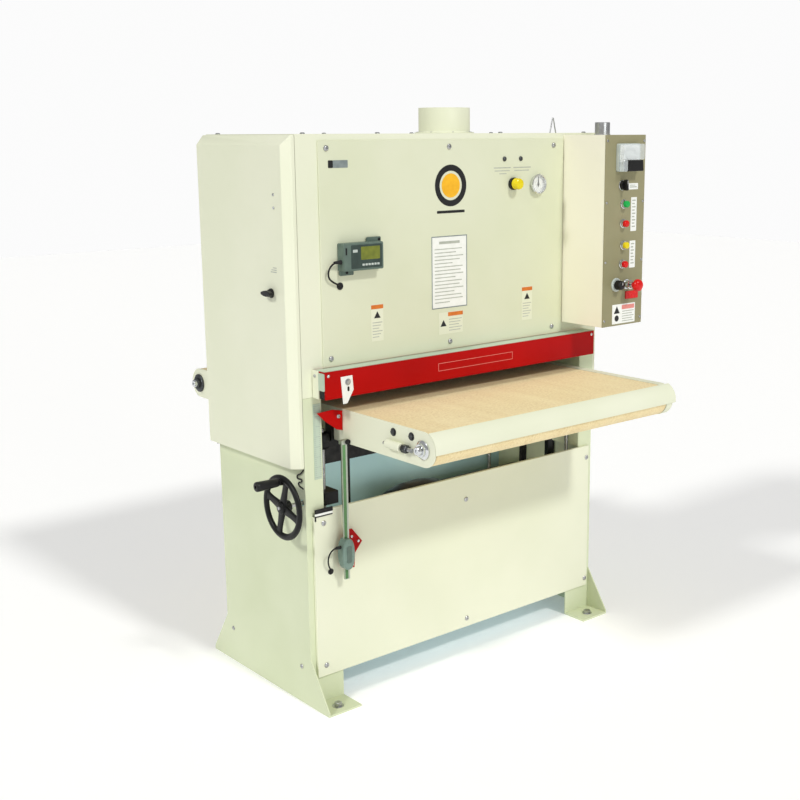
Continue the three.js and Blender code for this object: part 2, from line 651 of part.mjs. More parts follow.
// A curved bar round the front roller, from the table top down to mid height.
function frontBar() {
  const [inner, outer] = [NOSE_RADIUS + 0.8, NOSE_RADIUS + 4.5];
  const top = Math.PI - Math.asin(NOSE_RADIUS / outer);
  const bottom = Math.PI + 0.14;
  const innerTop = Math.PI - Math.asin((NOSE_RADIUS - 0.6) / inner);
  const outline = [
    ...arc(FRONT_ROLLER_Y, TABLE_MIDDLE, outer, top, Math.PI, 6),
    ...arc(FRONT_ROLLER_Y, TABLE_MIDDLE, outer, Math.PI, bottom, 1).slice(1),
    ...arc(FRONT_ROLLER_Y, TABLE_MIDDLE, inner, bottom, Math.PI, 1),
    ...arc(FRONT_ROLLER_Y, TABLE_MIDDLE, inner, Math.PI, innerTop, 6).slice(1),
  ];
  return prism(X, outline, TABLE_LEFT, FRONT_BAR_RIGHT);
}

const feedRoller = (rightEnd) => turned(X, [
  [106, 16], [114, 16], [114, 12], [BELT_LEFT + 1, 12], [BELT_LEFT + 1, FEED_ROLLER_RADIUS],
  [BELT_RIGHT - 1, FEED_ROLLER_RADIUS], [BELT_RIGHT - 1, 12], [rightEnd, 12],
], 24);

function conveyorBelt() {
  const around = (clear) => loop(
    FRONT_ROLLER_Y, TABLE_MIDDLE, FEED_ROLLER_RADIUS + clear,
    REAR_ROLLER_Y, TABLE_MIDDLE, FEED_ROLLER_RADIUS + clear, 12);
  return prism(X, around(3), BELT_LEFT, BELT_RIGHT, around(0.6));
}

const CROSS_BOTTOM = 776;
const CROSS_TOP = 795;
const GUIDE_X = [170, 1026];

// The welded frame under the table: two cross members with the screw nuts in their ends, two rails,
// tabs up to the side plates, and a guide bar down into the base at each front corner.
function tableSubframe() {
  const crosses = [SCREW_FRONT, SCREW_REAR].flatMap((y) => [
    block(80, WIDTH - COLUMN_WIDTH - 4, y - 15, y + 15, CROSS_BOTTOM, CROSS_TOP),
    block(116, TABLE_LEFT - GAP, y - 15, y + 15, CROSS_BOTTOM, 870),
    block(TABLE_RIGHT + GAP, TABLE_RIGHT + 4.5, y - 15, y + 15, CROSS_BOTTOM, 870),
  ]);
  const rails = GUIDE_X.map((x) => block(
    x - 12, x + 12, SCREW_FRONT - 15, SCREW_REAR + 15, CROSS_BOTTOM, CROSS_TOP));
  const guides = GUIDE_X.map((x) => block(x - 10, x + 10, 30, 48, 330, CROSS_BOTTOM + 1));
  const nuts = Object.values(SCREW_PLACES).map(
    ([x, y]) => rod(Z, SCREW_RADIUS + 0.5, x, y, CROSS_BOTTOM - 1, CROSS_TOP + 1));
  return cut(join(...crosses, ...rails, ...guides), ...nuts);
}

// A gear reducer on the rear roller's right end, with its motor hanging below.
function feedMotor() {
  const gearbox = block(TABLE_RIGHT + GAP, 1168, REAR_ROLLER_Y - 45, REAR_ROLLER_Y + 45, 798, 892);
  const motor = rod(Z, 48, 1153, REAR_ROLLER_Y, 610, 799);
  const bore = rod(X, 12.7, REAR_ROLLER_Y, TABLE_MIDDLE, TABLE_RIGHT, 1145);
  return cut(join(gearbox, motor), bore);
}

// The red flag that points at the steel rule on the left column.
function depthPointer() {
  const flag = prism(Y, [
    [38, TABLE_TOP], [93, TABLE_TOP + 3], [TABLE_LEFT - GAP, TABLE_TOP - 5],
    [TABLE_LEFT - GAP, TABLE_TOP - 63], [105, TABLE_TOP - 57], [66, TABLE_TOP - 28],
  ], -15, -12);
  const foot = block(TABLE_LEFT - GAP - 3, TABLE_LEFT - GAP, -15, 14, TABLE_TOP - 50, TABLE_TOP - 9);
  return join(flag, foot);
}

const SCALE = { left: 98, right: 117, front: -47, back: -41, bottom: 391, top: 812 };

function scaleBar() {
  const { left, right, front, back, bottom, top } = SCALE;
  const bar = block(left, right, front, back, bottom, top);
  const arm = block(left, TABLE_LEFT - GAP, front, back + 10, top - 12, top);
  return join(bar, arm);
}

// The reading head round the scale bar, on its bracket from the base's front panel.
function scaleReader() {
  const { left, right, front, back } = SCALE;
  const headBlock = block(80, 132, front - 16, back + 12, 424, 518);
  const slot = block(left - 1.5, right + 1.5, front - 1.5, back + 1.5, 423, 519);
  const bracket = prism(Y, [
    [92, 418], [146, 414], [176, 490], [140, 535], [92, 528],
  ], back + 11, back + 15);
  const leg = block(134, 150, back + 12, -10 - 2 * GAP, 440, 520);
  return join(cut(headBlock, slot), bracket, leg);
}

const table = new THREE.Group();
table.add(
  mesh("table_bed", tableBed(), "steel"),
  mesh("table_left_plate", tableLeftPlate(), "cream"),
  mesh("table_right_plate", tableRightPlate(), "cream"),
  mesh("front_bar", frontBar(), "cream"),
  mesh("conveyor_belt", conveyorBelt(), "belt"),
  mesh("front_roller", feedRoller(1098), "steel", [0, FRONT_ROLLER_Y, TABLE_MIDDLE]),
  mesh("rear_roller", feedRoller(1140), "steel", [0, REAR_ROLLER_Y, TABLE_MIDDLE]),
  mesh("table_subframe", tableSubframe(), "black"),
  mesh("feed_motor", feedMotor(), "black"),
  mesh("depth_pointer", depthPointer(), "red"),
  mesh("scale_bar", scaleBar(), "green"),
  mesh("scale_reader", scaleReader(), "red"),
  mesh("scale_cable", cable(SCALE_CABLE, 2.2), "black"),
);

// ---------------------------------------------------------------- table lift

const liftScrew = () => turned(Z, [
  [FLOOR_TOP + GAP, SCREW_RADIUS], [118, SCREW_RADIUS], [118, 20], [128, 20], [128, SCREW_RADIUS],
  [SCREW_TOP, SCREW_RADIUS],
], 16);

// The worm box that turns the front left screw from the handwheel's shaft.
function liftGearbox() {
  const body = block(70, 118, PLATE + GAP, 72, 612, 650);
  const screwBore = rod(Z, SCREW_RADIUS + 0.5, SCREW_LEFT, SCREW_FRONT, 611, 651);
  const shaftBore = rod(X, 6.6, HANDWHEEL_Y, HANDWHEEL_Z, 69, 112, 16);
  return cut(body, screwBore, shaftBore);
}

const GRIP = { y: 0, z: 77, pin: 4 }; // the revolving handle, from the wheel's centre
const SPOKES = 4;
const SPOKE_TURN = (106 * Math.PI) / 180;

// About its own axis: a rim, spokes from the hub, the shaft, and the pin that the handle turns on.
function handwheel() {
  const ring = (outer, inner, x0, x1) => cut(
    rod(X, outer, 0, 0, x0, x1, 24), rod(X, inner, 0, 0, x0 - 1, x1 + 1, 24));
  const rim = ring(HANDWHEEL_RADIUS, HANDWHEEL_RADIUS - 20, -72, -58);
  const hub = rod(X, 21, 0, 0, -76, -44);
  const spokes = Array.from({ length: SPOKES }, (_, i) => {
    const angle = SPOKE_TURN + (2 * Math.PI * i) / SPOKES;
    const [c, s] = [Math.cos(angle), Math.sin(angle)];
    const corners = [[14, -14], [86, -11], [86, 11], [14, 14]];
    return prism(X, corners.map(([r, w]) => [r * c - w * s, r * s + w * c]), -70, -60);
  });
  const shaft = rod(X, 6, 0, 0, -50, 108, 16);
  const boss = rod(X, 10, GRIP.y, GRIP.z, -76, -60, 16);
  const pin = rod(X, GRIP.pin, GRIP.y, GRIP.z, HANDLE_TIP + 6, -70, 12);
  return join(rim, hub, ...spokes, shaft, boss, pin);
}

function handwheelHandle() {
  const grip = turned(X, [[HANDLE_TIP, 11], [HANDLE_TIP + 4, 14.5], [-84, 12.5], [-77, 10]], 20);
  return cut(grip, rod(X, GRIP.pin + 0.6, 0, 0, HANDLE_TIP + 4, -76, 12));
}

const lift = new THREE.Group();
for (const [corner, [x, y]] of Object.entries(SCREW_PLACES)) {
  lift.add(mesh("lift_screw_" + corner, liftScrew(), "steel", [x, y, 0]));
}
lift.add(
  mesh("lift_gearbox", liftGearbox(), "dark_steel"),
  mesh("handwheel", handwheel(), "black", [0, HANDWHEEL_Y, HANDWHEEL_Z]),
  mesh("handwheel_handle", handwheelHandle(), "black",
    [0, HANDWHEEL_Y + GRIP.y, HANDWHEEL_Z + GRIP.z]),
);

// ---------------------------------------------------------------- the machine

const machine = new THREE.Group();
machine.add(base, drive, head, door, controls, table, lift);
const box = new THREE.Box3().setFromObject(machine);
const middle = box.getCenter(new THREE.Vector3());
machine.position.set(-middle.x, -middle.y, -box.min.z);

const group = new THREE.Group();
group.add(machine);

export default group;
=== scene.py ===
"""Looks for the wide-belt drum sander: smooth pieces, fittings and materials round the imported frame.

Metres throughout. Places are measured from the machine's front left corner on the floor, X to the
right, Y to the rear and Z up, and CORNER, which comes from the frame, moves them into the row frame.
"""

import math

import bmesh
import bpy
from mathutils import Euler, Matrix, Vector


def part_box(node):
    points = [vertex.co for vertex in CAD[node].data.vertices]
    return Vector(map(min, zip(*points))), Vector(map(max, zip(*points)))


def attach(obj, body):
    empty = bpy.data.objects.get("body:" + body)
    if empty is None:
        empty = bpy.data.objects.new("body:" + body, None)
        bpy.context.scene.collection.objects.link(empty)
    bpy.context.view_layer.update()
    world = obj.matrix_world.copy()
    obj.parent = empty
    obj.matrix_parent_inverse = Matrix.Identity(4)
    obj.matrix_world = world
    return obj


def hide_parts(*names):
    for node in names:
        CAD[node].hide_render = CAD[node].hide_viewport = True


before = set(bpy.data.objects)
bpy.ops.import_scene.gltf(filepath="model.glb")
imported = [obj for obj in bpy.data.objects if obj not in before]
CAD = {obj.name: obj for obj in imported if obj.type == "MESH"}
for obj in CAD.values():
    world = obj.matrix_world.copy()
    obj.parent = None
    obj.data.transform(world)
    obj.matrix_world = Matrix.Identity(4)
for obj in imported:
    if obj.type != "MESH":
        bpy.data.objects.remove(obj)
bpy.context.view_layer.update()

HEAD_LOW, HEAD_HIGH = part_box("head_shell")
CORNER = Vector((HEAD_LOW.x, HEAD_LOW.y, 0.0))
WIDTH = HEAD_HIGH.x - HEAD_LOW.x
DEPTH = HEAD_HIGH.y - HEAD_LOW.y


def span(node):
    """A CAD node's lowest and highest corners, from the machine's own corner."""
    low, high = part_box(node)
    return low - CORNER, high - CORNER


def middle(node):
    low, high = span(node)
    return (low + high) / 2


# ---------------------------------------------------------------- camera, light and floor

CAMERA_PLACE = Vector((-1.851, -2.806, 1.6715))
CAMERA_TURN = (math.radians(90 - 11.84), 0.0, math.radians(-40.778))
CAMERA_ROLL = math.radians(-0.267)
FOCAL_MM = 54.41
SENSOR_MM = 36.0
SHIFT = (-0.0689, -0.0155)

# Each sun's name, heading, strength, softness in degrees and tint.
SUNS = [("key", (-0.04, 0.73, -0.68), 1.3, 6, (1.0, 0.995, 0.97)),
        ("left", (0.78, 0.05, -0.62), 1.25, 8, (1.0, 1.0, 0.97)),
        ("front", (0.1, 0.99, -0.02), 0.44, 25, (0.97, 1.0, 0.99))]
LAMP_WATTS = 1.3
SURROUND_LIGHT = 0.36
SURROUND_SEEN = 0.97
FLOOR_HALF = 14.0


def make_camera():
    data = bpy.data.cameras.new("camera")
    data.lens = FOCAL_MM
    data.sensor_width = SENSOR_MM
    data.shift_x, data.shift_y = SHIFT
    camera = bpy.data.objects.new("camera", data)
    bpy.context.scene.collection.objects.link(camera)
    turn = Euler(CAMERA_TURN).to_matrix().to_4x4() @ Matrix.Rotation(CAMERA_ROLL, 4, "Z")
    camera.matrix_world = Matrix.Translation(CORNER + CAMERA_PLACE) @ turn
    bpy.context.scene.camera = camera


def sun(name, heading, strength, softness, tint):
    """A broad soft light that shines along heading."""
    data = bpy.data.lights.new(name, "SUN")
    data.angle = math.radians(softness)
    data.energy = strength
    data.color = tint
    light = bpy.data.objects.new(name, data)
    bpy.context.scene.collection.objects.link(light)
    light.location = (0.0, 0.0, 4.0)
    light.rotation_euler = Vector(heading).to_track_quat("-Z", "Y").to_euler()


def inside_lamp():
    """A strip of light hidden behind the front panel, for the back wall of the base."""
    data = bpy.data.lights.new("inside_strip", "AREA")
    data.shape, data.size, data.size_y = "RECTANGLE", 0.85, 0.06
    data.energy = LAMP_WATTS
    light = bpy.data.objects.new("inside_strip", data)
    bpy.context.scene.collection.objects.link(light)
    light.location = CORNER + Vector((0.6, 0.04, 0.555))
    light.rotation_euler = Vector((0.0, 1.0, 0.05)).to_track_quat("-Z", "Y").to_euler()


def make_studio():
    """A white surround that looks brighter to the camera than it lights the object."""
    world = bpy.data.worlds.new("studio")
    world.use_nodes = True
    nodes, links = world.node_tree.nodes, world.node_tree.links
    lighting = nodes["Background"]
    lighting.inputs["Color"].default_value = (1, 1, 1, 1)
    lighting.inputs["Strength"].default_value = SURROUND_LIGHT
    seen = nodes.new("ShaderNodeBackground")
    seen.inputs["Color"].default_value = (1, 1, 1, 1)
    seen.inputs["Strength"].default_value = SURROUND_SEEN
    path = nodes.new("ShaderNodeLightPath")
    mix = nodes.new("ShaderNodeMixShader")
    links.new(path.outputs["Is Camera Ray"], mix.inputs["Fac"])
    links.new(lighting.outputs["Background"], mix.inputs[1])
    links.new(seen.outputs["Background"], mix.inputs[2])
    links.new(mix.outputs["Shader"], nodes["World Output"].inputs["Surface"])
    bpy.context.scene.world = world
    bpy.context.scene.view_settings.view_transform = "Standard"


def make_stage():
    for light in SUNS:
        sun(*light)
    inside_lamp()
    make_studio()
    corners = [(-FLOOR_HALF, -FLOOR_HALF, 0), (FLOOR_HALF, -FLOOR_HALF, 0),
               (FLOOR_HALF, FLOOR_HALF, 0), (-FLOOR_HALF, FLOOR_HALF, 0)]
    mesh = bpy.data.meshes.new("floor")
    mesh.from_pydata(corners, [], [(0, 1, 2, 3)])
    floor = bpy.data.objects.new("floor", mesh)
    bpy.context.scene.collection.objects.link(floor)
    look = bpy.data.materials.new("floor_look")
    look.use_nodes = True
    sockets = look.node_tree.nodes["Principled BSDF"].inputs
    sockets["Base Color"].default_value = (0.95, 0.95, 0.95, 1)
    sockets["Roughness"].default_value = 0.9
    sockets["Emission Color"].default_value = (1, 1, 1, 1)
    sockets["Emission Strength"].default_value = 0.15
    mesh.materials.append(look)


# ---------------------------------------------------------------- material tools


def rgb(red, green, blue):
    """A colour given as 0 to 255 in sRGB, as the shader's linear one."""
    def linear(value):
        share = value / 255
        return share / 12.92 if share <= 0.04045 else ((share + 0.055) / 1.055) ** 2.4
    return (linear(red), linear(green), linear(blue), 1.0)


class Look:
    """A Principled material and the few nodes that give it grain."""

    def __init__(self, name, **sockets):
        self.material = bpy.data.materials.new(name)
        self.material.use_nodes = True
        self.tree = self.material.node_tree
        self.shader = self.tree.nodes["Principled BSDF"]
        for socket, value in sockets.items():
            self.shader.inputs[socket.replace("_", " ")].default_value = value
        self.place = self.tree.nodes.new("ShaderNodeTexCoord").outputs["Object"]

    def stretched(self, scale):
        node = self.tree.nodes.new("ShaderNodeMapping")
        node.inputs["Scale"].default_value = scale
        self.tree.links.new(self.place, node.inputs["Vector"])
        return node.outputs["Vector"]

    def noise(self, scale, detail=3.0, stretch=(1, 1, 1), roughness=0.5):
        node = self.tree.nodes.new("ShaderNodeTexNoise")
        node.inputs["Scale"].default_value = scale
        node.inputs["Detail"].default_value = detail
        node.inputs["Roughness"].default_value = roughness
        self.tree.links.new(self.stretched(stretch), node.inputs["Vector"])
        return node.outputs["Fac"]

    def cells(self, scale):
        node = self.tree.nodes.new("ShaderNodeTexVoronoi")
        node.inputs["Scale"].default_value = scale
        self.tree.links.new(self.stretched((1, 1, 1)), node.inputs["Vector"])
        return node.outputs["Distance"]

    def ramp(self, value, *stops):
        """stops are (place, colour) pairs."""
        node = self.tree.nodes.new("ShaderNodeValToRGB")
        elements = node.color_ramp.elements
        while len(elements) < len(stops):
            elements.new(0.5)
        for element, (place, colour) in zip(elements, stops):
            element.position = place
            element.color = colour
        self.tree.links.new(value, node.inputs["Fac"])
        return node.outputs["Color"]

    def mixed(self, share, first, second):
        node = self.tree.nodes.new("ShaderNodeMix")
        node.data_type = "RGBA"
        self.tree.links.new(share, node.inputs[0])
        self.tree.links.new(first, node.inputs[6])
        self.tree.links.new(second, node.inputs[7])
        return node.outputs[2]

    def spread(self, value, low, high):
        node = self.tree.nodes.new("ShaderNodeMapRange")
        node.inputs["From Min"].default_value = 0.3
        node.inputs["From Max"].default_value = 0.7
        node.inputs["To Min"].default_value = low
        node.inputs["To Max"].default_value = high
        self.tree.links.new(value, node.inputs["Value"])
        return node.outputs["Result"]

    def to(self, socket, value):
        self.tree.links.new(value, self.shader.inputs[socket])
        return self

    def bump(self, height, strength, distance=0.001):
        node = self.tree.nodes.new("ShaderNodeBump")
        node.inputs["Strength"].default_value = strength
        node.inputs["Distance"].default_value = distance
        self.tree.links.new(height, node.inputs["Height"])
        before = self.shader.inputs["Normal"].links
        if before:
            self.tree.links.new(before[0].from_socket, node.inputs["Normal"])
        self.tree.links.new(node.outputs["Normal"], self.shader.inputs["Normal"])
        return self


def coated(name, light, dark, roughness=0.38, peel=0.1, coat=0.0, shine=0.3):
    """Powder coat: orange peel, faint clouding of the colour and a satin that varies a little."""
    look = Look(name, Coat_Weight=coat, Coat_Roughness=0.15, Specular_IOR_Level=shine)
    clouds = look.noise(3.2, 4.0)
    look.to("Base Color", look.ramp(clouds, (0.36, dark), (0.62, light)))
    look.to("Roughness", look.spread(look.noise(26.0, 3.0), roughness - 0.06, roughness + 0.07))
    look.bump(look.noise(620.0, 2.0), peel, 0.0006)
    return look.bump(look.noise(9.0, 2.0), 0.05, 0.004).material


def machined(name, light, dark, roughness, stretch, grain=0.12):
    """Bare metal with tool marks that run across the stretched direction."""
    look = Look(name, Metallic=1.0)
    marks = look.noise(60.0, 4.0, stretch, 0.7)
    look.to("Base Color", look.ramp(marks, (0.32, dark), (0.68, light)))
    look.to("Roughness", look.spread(look.noise(30.0, 3.0), roughness - 0.07, roughness + 0.09))
    return look.bump(marks, grain, 0.0005).material


def moulded(name, light, dark, roughness=0.35, grain=0.06):
    """Moulded plastic with a fine spark-eroded grain."""
    look = Look(name, Specular_IOR_Level=0.35)
    look.to("Base Color", look.ramp(look.noise(40.0, 3.0), (0.3, dark), (0.7, light)))
    look.to("Roughness", look.spread(look.noise(90.0, 2.0), roughness - 0.05, roughness + 0.08))
    return look.bump(look.noise(1500.0, 1.0), grain, 0.0004).material


def rubber(name, light, dark, scale=420.0, grain=0.35):
    look = Look(name, Specular_IOR_Level=0.3)
    look.to("Base Color", look.ramp(look.noise(60.0, 4.0), (0.3, dark), (0.7, light)))
    look.to("Roughness", look.spread(look.noise(50.0, 3.0), 0.62, 0.85))
    return look.bump(look.noise(scale, 4.0), grain, 0.0008).material


def feed_belt_look(name):
    """Tan rough-top belting: a woven look of short darker flecks, with soft streaks along its run."""
    look = Look(name, Specular_IOR_Level=0.25, Sheen_Weight=0.15, Sheen_Roughness=0.6)
    flecks = look.ramp(look.noise(170.0, 5.0, (1.0, 0.55, 1.0), 0.65),
                       (0.38, rgb(216, 190, 138)), (0.52, rgb(238, 218, 168)), (0.66, rgb(246, 230, 186)))
    streaks = look.ramp(look.noise(7.0, 4.0, (2.6, 0.35, 1.0)),
                        (0.35, rgb(232, 210, 158)), (0.65, rgb(244, 227, 180)))
    look.to("Base Color", look.mixed(look.noise(14.0, 2.0), flecks, streaks))
    look.to("Roughness", look.spread(look.noise(40.0, 2.0), 0.68, 0.85))
    return look.bump(look.cells(430.0), 0.28, 0.0009).material


def abrasive_look(name):
    look = Look(name, Specular_IOR_Level=0.4)
    grit = look.cells(900.0)
    look.to("Base Color", look.ramp(grit, (0.1, rgb(120, 62, 44)), (0.45, rgb(96, 46, 34)),
                                    (0.8, rgb(58, 30, 24))))
    look.to("Roughness", look.spread(look.noise(200.0), 0.7, 0.95))
    return look.bump(grit, 0.8, 0.0006).material


def clear(name, tint, body, roughness=0.05):
    """A thin clear sheet: mostly open, with a gloss and a little body."""
    look = Look(name, Base_Color=tint, Alpha=body, Specular_IOR_Level=0.6)
    look.to("Roughness", look.spread(look.noise(12.0), roughness, roughness + 0.05))
    return look.material


def printed(name, light, dark):
    """Satin vinyl for labels."""
    look = Look(name, Specular_IOR_Level=0.45)
    look.to("Base Color", look.ramp(look.noise(70.0, 2.0), (0.3, dark), (0.7, light)))
    look.to("Roughness", look.spread(look.noise(24.0), 0.32, 0.46))
    return look.bump(look.noise(300.0), 0.03, 0.0004).material


def steel_pair(tone):
    return rgb(tone, tone + 1, tone + 2), rgb(tone - 34, tone - 33, tone - 31)


CREAM = coated("cream_paint", rgb(232, 234, 211), rgb(228, 231, 206), 0.4)
# The front cover's cream is a darker copy of the cream paint: painted shade, toned to how the light falls
# on the cover.
SHADED_COVER_CREAM = coated("cream_cover_painted_shade", rgb(222, 225, 199), rgb(217, 221, 192), 0.42)
# The base sides' cream is a darker, greener copy of the cream paint: painted shade on the side faces.
SHADED_SIDE_CREAM = coated("cream_sides_painted_shade", rgb(216, 223, 192), rgb(209, 217, 183), 0.42)
# The control box's cream is a lighter copy of the cream paint: painted light on the box's bright side.
LIT_BOX_CREAM = coated("cream_box_painted_light", rgb(248, 245, 228), rgb(245, 242, 223), 0.4)
OLIVE = coated("olive_panel", rgb(156, 150, 117), rgb(144, 140, 106), 0.42, 0.16)
RED = coated("red_paint", rgb(184, 2, 3), rgb(168, 0, 1), 0.36, 0.08, 0.0, 0.12)
BLACK_PAINT = coated("black_paint", rgb(19, 20, 19), rgb(11, 12, 12), 0.38, 0.2, 0.0, 0.25)
GREEN_SCALE = coated("green_scale", rgb(96, 142, 88), rgb(70, 118, 66), 0.3, 0.04, 0.3)
BLUE_GREY = coated("inside_wall", rgb(188, 222, 222), rgb(172, 208, 210), 0.45)
# Grey-green: the steel rule's own tone, and painted shade on the guard's top strip and leaf, which are
# cream.
RULE_GREEN_AND_SHADED_CREAM = coated("rule_green_and_painted_shade", rgb(190, 205, 186), rgb(168, 186, 166), 0.4)
ZINC = machined("zinc_plate", *steel_pair(202), 0.3, (1, 1, 1), 0.06)
CHROME = machined("chrome", rgb(232, 234, 236), rgb(206, 209, 212), 0.13, (1, 1, 1), 0.01)
TURNED_X = machined("turned_along_x", *steel_pair(196), 0.28, (26, 1.2, 1.2))
TURNED_Z = machined("turned_along_z", *steel_pair(190), 0.3, (1.2, 1.2, 26))
MILLED = machined("milled_steel", *steel_pair(176), 0.36, (1, 14, 1))
RULE_STEEL = machined("rule_steel", rgb(196, 202, 188), rgb(176, 184, 170), 0.4, (14, 1, 1))
CAST = coated("cast_iron", rgb(72, 76, 76), rgb(52, 56, 57), 0.6, 0.6)
DARK_STEEL = machined("dark_steel", rgb(98, 100, 102), rgb(62, 64, 67), 0.42, (1, 1, 6))
BLACK_PLASTIC = moulded("black_plastic", rgb(20, 20, 21), rgb(12, 12, 13), 0.36)
GREEN_PLASTIC = moulded("green_plastic", rgb(30, 182, 84), rgb(20, 160, 70), 0.22, 0.02)
RED_PLASTIC = moulded("red_plastic", rgb(226, 22, 20), rgb(204, 12, 12), 0.22, 0.02)
YELLOW_PLASTIC = moulded("yellow_plastic", rgb(236, 216, 24), rgb(220, 196, 12), 0.25, 0.02)
READOUT_PLASTIC = moulded("readout_plastic", rgb(100, 118, 108), rgb(86, 104, 96), 0.42, 0.1)
READOUT_DARK = moulded("readout_dark", rgb(60, 76, 70), rgb(48, 62, 58), 0.45, 0.1)
GREY_PLASTIC = moulded("grey_plastic", rgb(196, 204, 198), rgb(180, 190, 184), 0.35)
LCD = printed("lcd_screen", rgb(122, 130, 40), rgb(100, 110, 32))
READER_GREY = moulded("reader_grey", rgb(124, 146, 136), rgb(106, 130, 120), 0.3)
WHITE_LABEL = printed("white_label", rgb(247, 248, 244), rgb(240, 242, 236))
ORANGE_LABEL = printed("orange_label", rgb(222, 122, 34), rgb(206, 104, 22))
AMBER_LABEL = printed("amber_label", rgb(250, 190, 30), rgb(240, 176, 20))
BLACK_LABEL = printed("black_label", rgb(22, 22, 24), rgb(12, 12, 14))
GREY_LABEL = printed("grey_label", rgb(136, 146, 146), rgb(120, 130, 131))
FAINT_PRINT = printed("faint_print", rgb(186, 190, 178), rgb(172, 176, 164))
PINK_LABEL = printed("pink_label", rgb(232, 150, 140), rgb(222, 128, 120))
BLACK_RUBBER = rubber("black_rubber", rgb(40, 40, 41), rgb(24, 24, 25))
DRUM_RUBBER = rubber("drum_rubber", rgb(70, 66, 62), rgb(48, 46, 44), 700.0)
CORD_RUBBER = rubber("cord_rubber", rgb(34, 34, 34), rgb(20, 20, 20), 900.0, 0.15)
FEED_BELT = feed_belt_look("feed_belt_top")
ABRASIVE = abrasive_look("abrasive_cloth")
GLASS = clear("gauge_glass", (0.95, 0.97, 0.98, 1.0), 0.1)
CLEAR_PLASTIC = clear("clear_plastic", (0.88, 0.93, 0.95, 1.0), 0.3, 0.08)


# ---------------------------------------------------------------- shape tools

CORNER_STEPS = 6
CREASE = 32  # degrees: two faces that meet at less than this look like one smooth surface
PROUD = 0.0006  # how far a label stands out from its face
GAP = 0.0001  # the gap behind a piece that is stuck on a face


def point(axis, along, u, v):
    """A point from its place along an axis and its other two coordinates, in X, Y, Z order."""
    if axis == "x":
        return Vector((along, u, v))
    if axis == "y":
        return Vector((u, along, v))
    return Vector((u, v, along))


def split(axis, place):
    """A point's place along an axis and its other two coordinates."""
    x, y, z = place
    return {"x": (x, (y, z)), "y": (y, (x, z)), "z": (z, (x, y))}[axis]


def outwards(face, profile):
    """A turned profile whose first numbers are how far each ring stands out from a front face."""
    return [(face - out, radius) for out, radius in profile]


def arc(u, v, radius, start, end, steps):
    """Points round a circle, with the angles in radians."""
    turns = [start + (end - start) * i / steps for i in range(steps + 1)]
    return [(u + radius * math.cos(t), v + radius * math.sin(t)) for t in turns]


def circle(u, v, radius, sides=48):
    return arc(u, v, radius, 0.0, 2 * math.pi, sides)[:-1]


def loop(first, second, steps=28):
    """The outline round two circles, each given as (u, v, radius)."""
    (u0, v0, r0), (u1, v1, r1) = first, second
    lie = math.atan2(v1 - v0, u1 - u0)
    lean = math.acos((r0 - r1) / math.hypot(u1 - u0, v1 - v0))
    return (arc(u0, v0, r0, lie + lean, lie - lean + 2 * math.pi, steps)
            + arc(u1, v1, r1, lie - lean, lie + lean, steps))


def rounded(u0, u1, v0, v1, radius):
    """A rectangle with round corners."""
    corners = [(u1 - radius, v1 - radius, 0), (u0 + radius, v1 - radius, 1),
               (u0 + radius, v0 + radius, 2), (u1 - radius, v0 + radius, 3)]
    quarter = math.pi / 2
    return [p for u, v, k in corners
            for p in arc(u, v, radius, k * quarter, (k + 1) * quarter, CORNER_STEPS)]


def toothed(centre, count, steps):
    """A round outline with as many teeth, whose steps are (share of a tooth, radius) pairs."""
    outline = []
    for k in range(count):
        for share, reach in steps:
            turn = 2 * math.pi * (k + share) / count
            outline.append((centre[0] + reach * math.cos(turn), centre[1] + reach * math.sin(turn)))
    return outline


def ribbed(centre, face, levels, ribs, sides):
    """Rings of a ribbed grip that stands on a front face: levels are (out, radius, depth of rib)."""
    u, v = centre
    rings = []
    for out, radius, rib in levels:
        ring = []
        for k in range(sides if radius else 1):
            turn = 2 * math.pi * k / sides
            reach = radius * (1 + rib * math.cos(ribs * turn))
            ring.append(Vector((u + reach * math.cos(turn), face - out, v + reach * math.sin(turn))))
        rings.append(ring)
    return rings


class Shape:
    """Closed solids gathered in one mesh."""

    def __init__(self):
        self.bm = bmesh.new()

    def rings(self, rings, closed=False, caps=True):
        made = [[self.bm.verts.new(p) for p in ring] for ring in rings]
        pairs = list(zip(made, made[1:])) + ([(made[-1], made[0])] if closed else [])
        for first, second in pairs:
            sides = max(len(first), len(second))
            for i in range(sides):
                j = (i + 1) % sides
                face = [first[i % len(first)], first[j % len(first)],
                        second[j % len(second)], second[i % len(second)]]
                face = list(dict.fromkeys(face))
                if len(face) > 2:
                    self.bm.faces.new(face)
        if caps and not closed:
            for ring in (made[0][::-1], made[-1]):
                if len(ring) > 2:
                    self.bm.faces.new(ring)
        return self

    def prism(self, axis, outline, start, end):
        return self.rings([[point(axis, a, u, v) for u, v in outline] for a in (start, end)])

    def block(self, x0, x1, y0, y1, z0, z1):
        return self.prism("z", [(x0, y0), (x1, y0), (x1, y1), (x0, y1)], z0, z1)

    def turned(self, axis, centre, profile, sides=56):
        """A turned piece: (along, radius) pairs that start and end on the axis, or close on themselves."""
        u0, v0 = centre
        rings = [[point(axis, along, u0, v0)] if radius == 0 else
                 [point(axis, along, u, v) for u, v in circle(u0, v0, radius, sides)]
                 for along, radius in profile]
        return self.rings(rings, closed=profile[0][1] != 0, caps=False)

    def band(self, axis, outer, inner, start, end):
        """A closed band between two outlines of as many points."""
        corners = [(outer, start), (outer, end), (inner, end), (inner, start)]
        return self.rings([[point(axis, along, u, v) for u, v in outline]
                           for outline, along in corners], closed=True)


def smooth_over(mesh, crease):
    """Rounds the shading where faces meet at less than the crease, in degrees."""
    bm = bmesh.new()
    bm.from_mesh(mesh)
    for face in bm.faces:
        face.smooth = True
    for edge in bm.edges:
        edge.smooth = edge.calc_face_angle(0.0) < math.radians(crease)
    bm.to_mesh(mesh)
    bm.free()


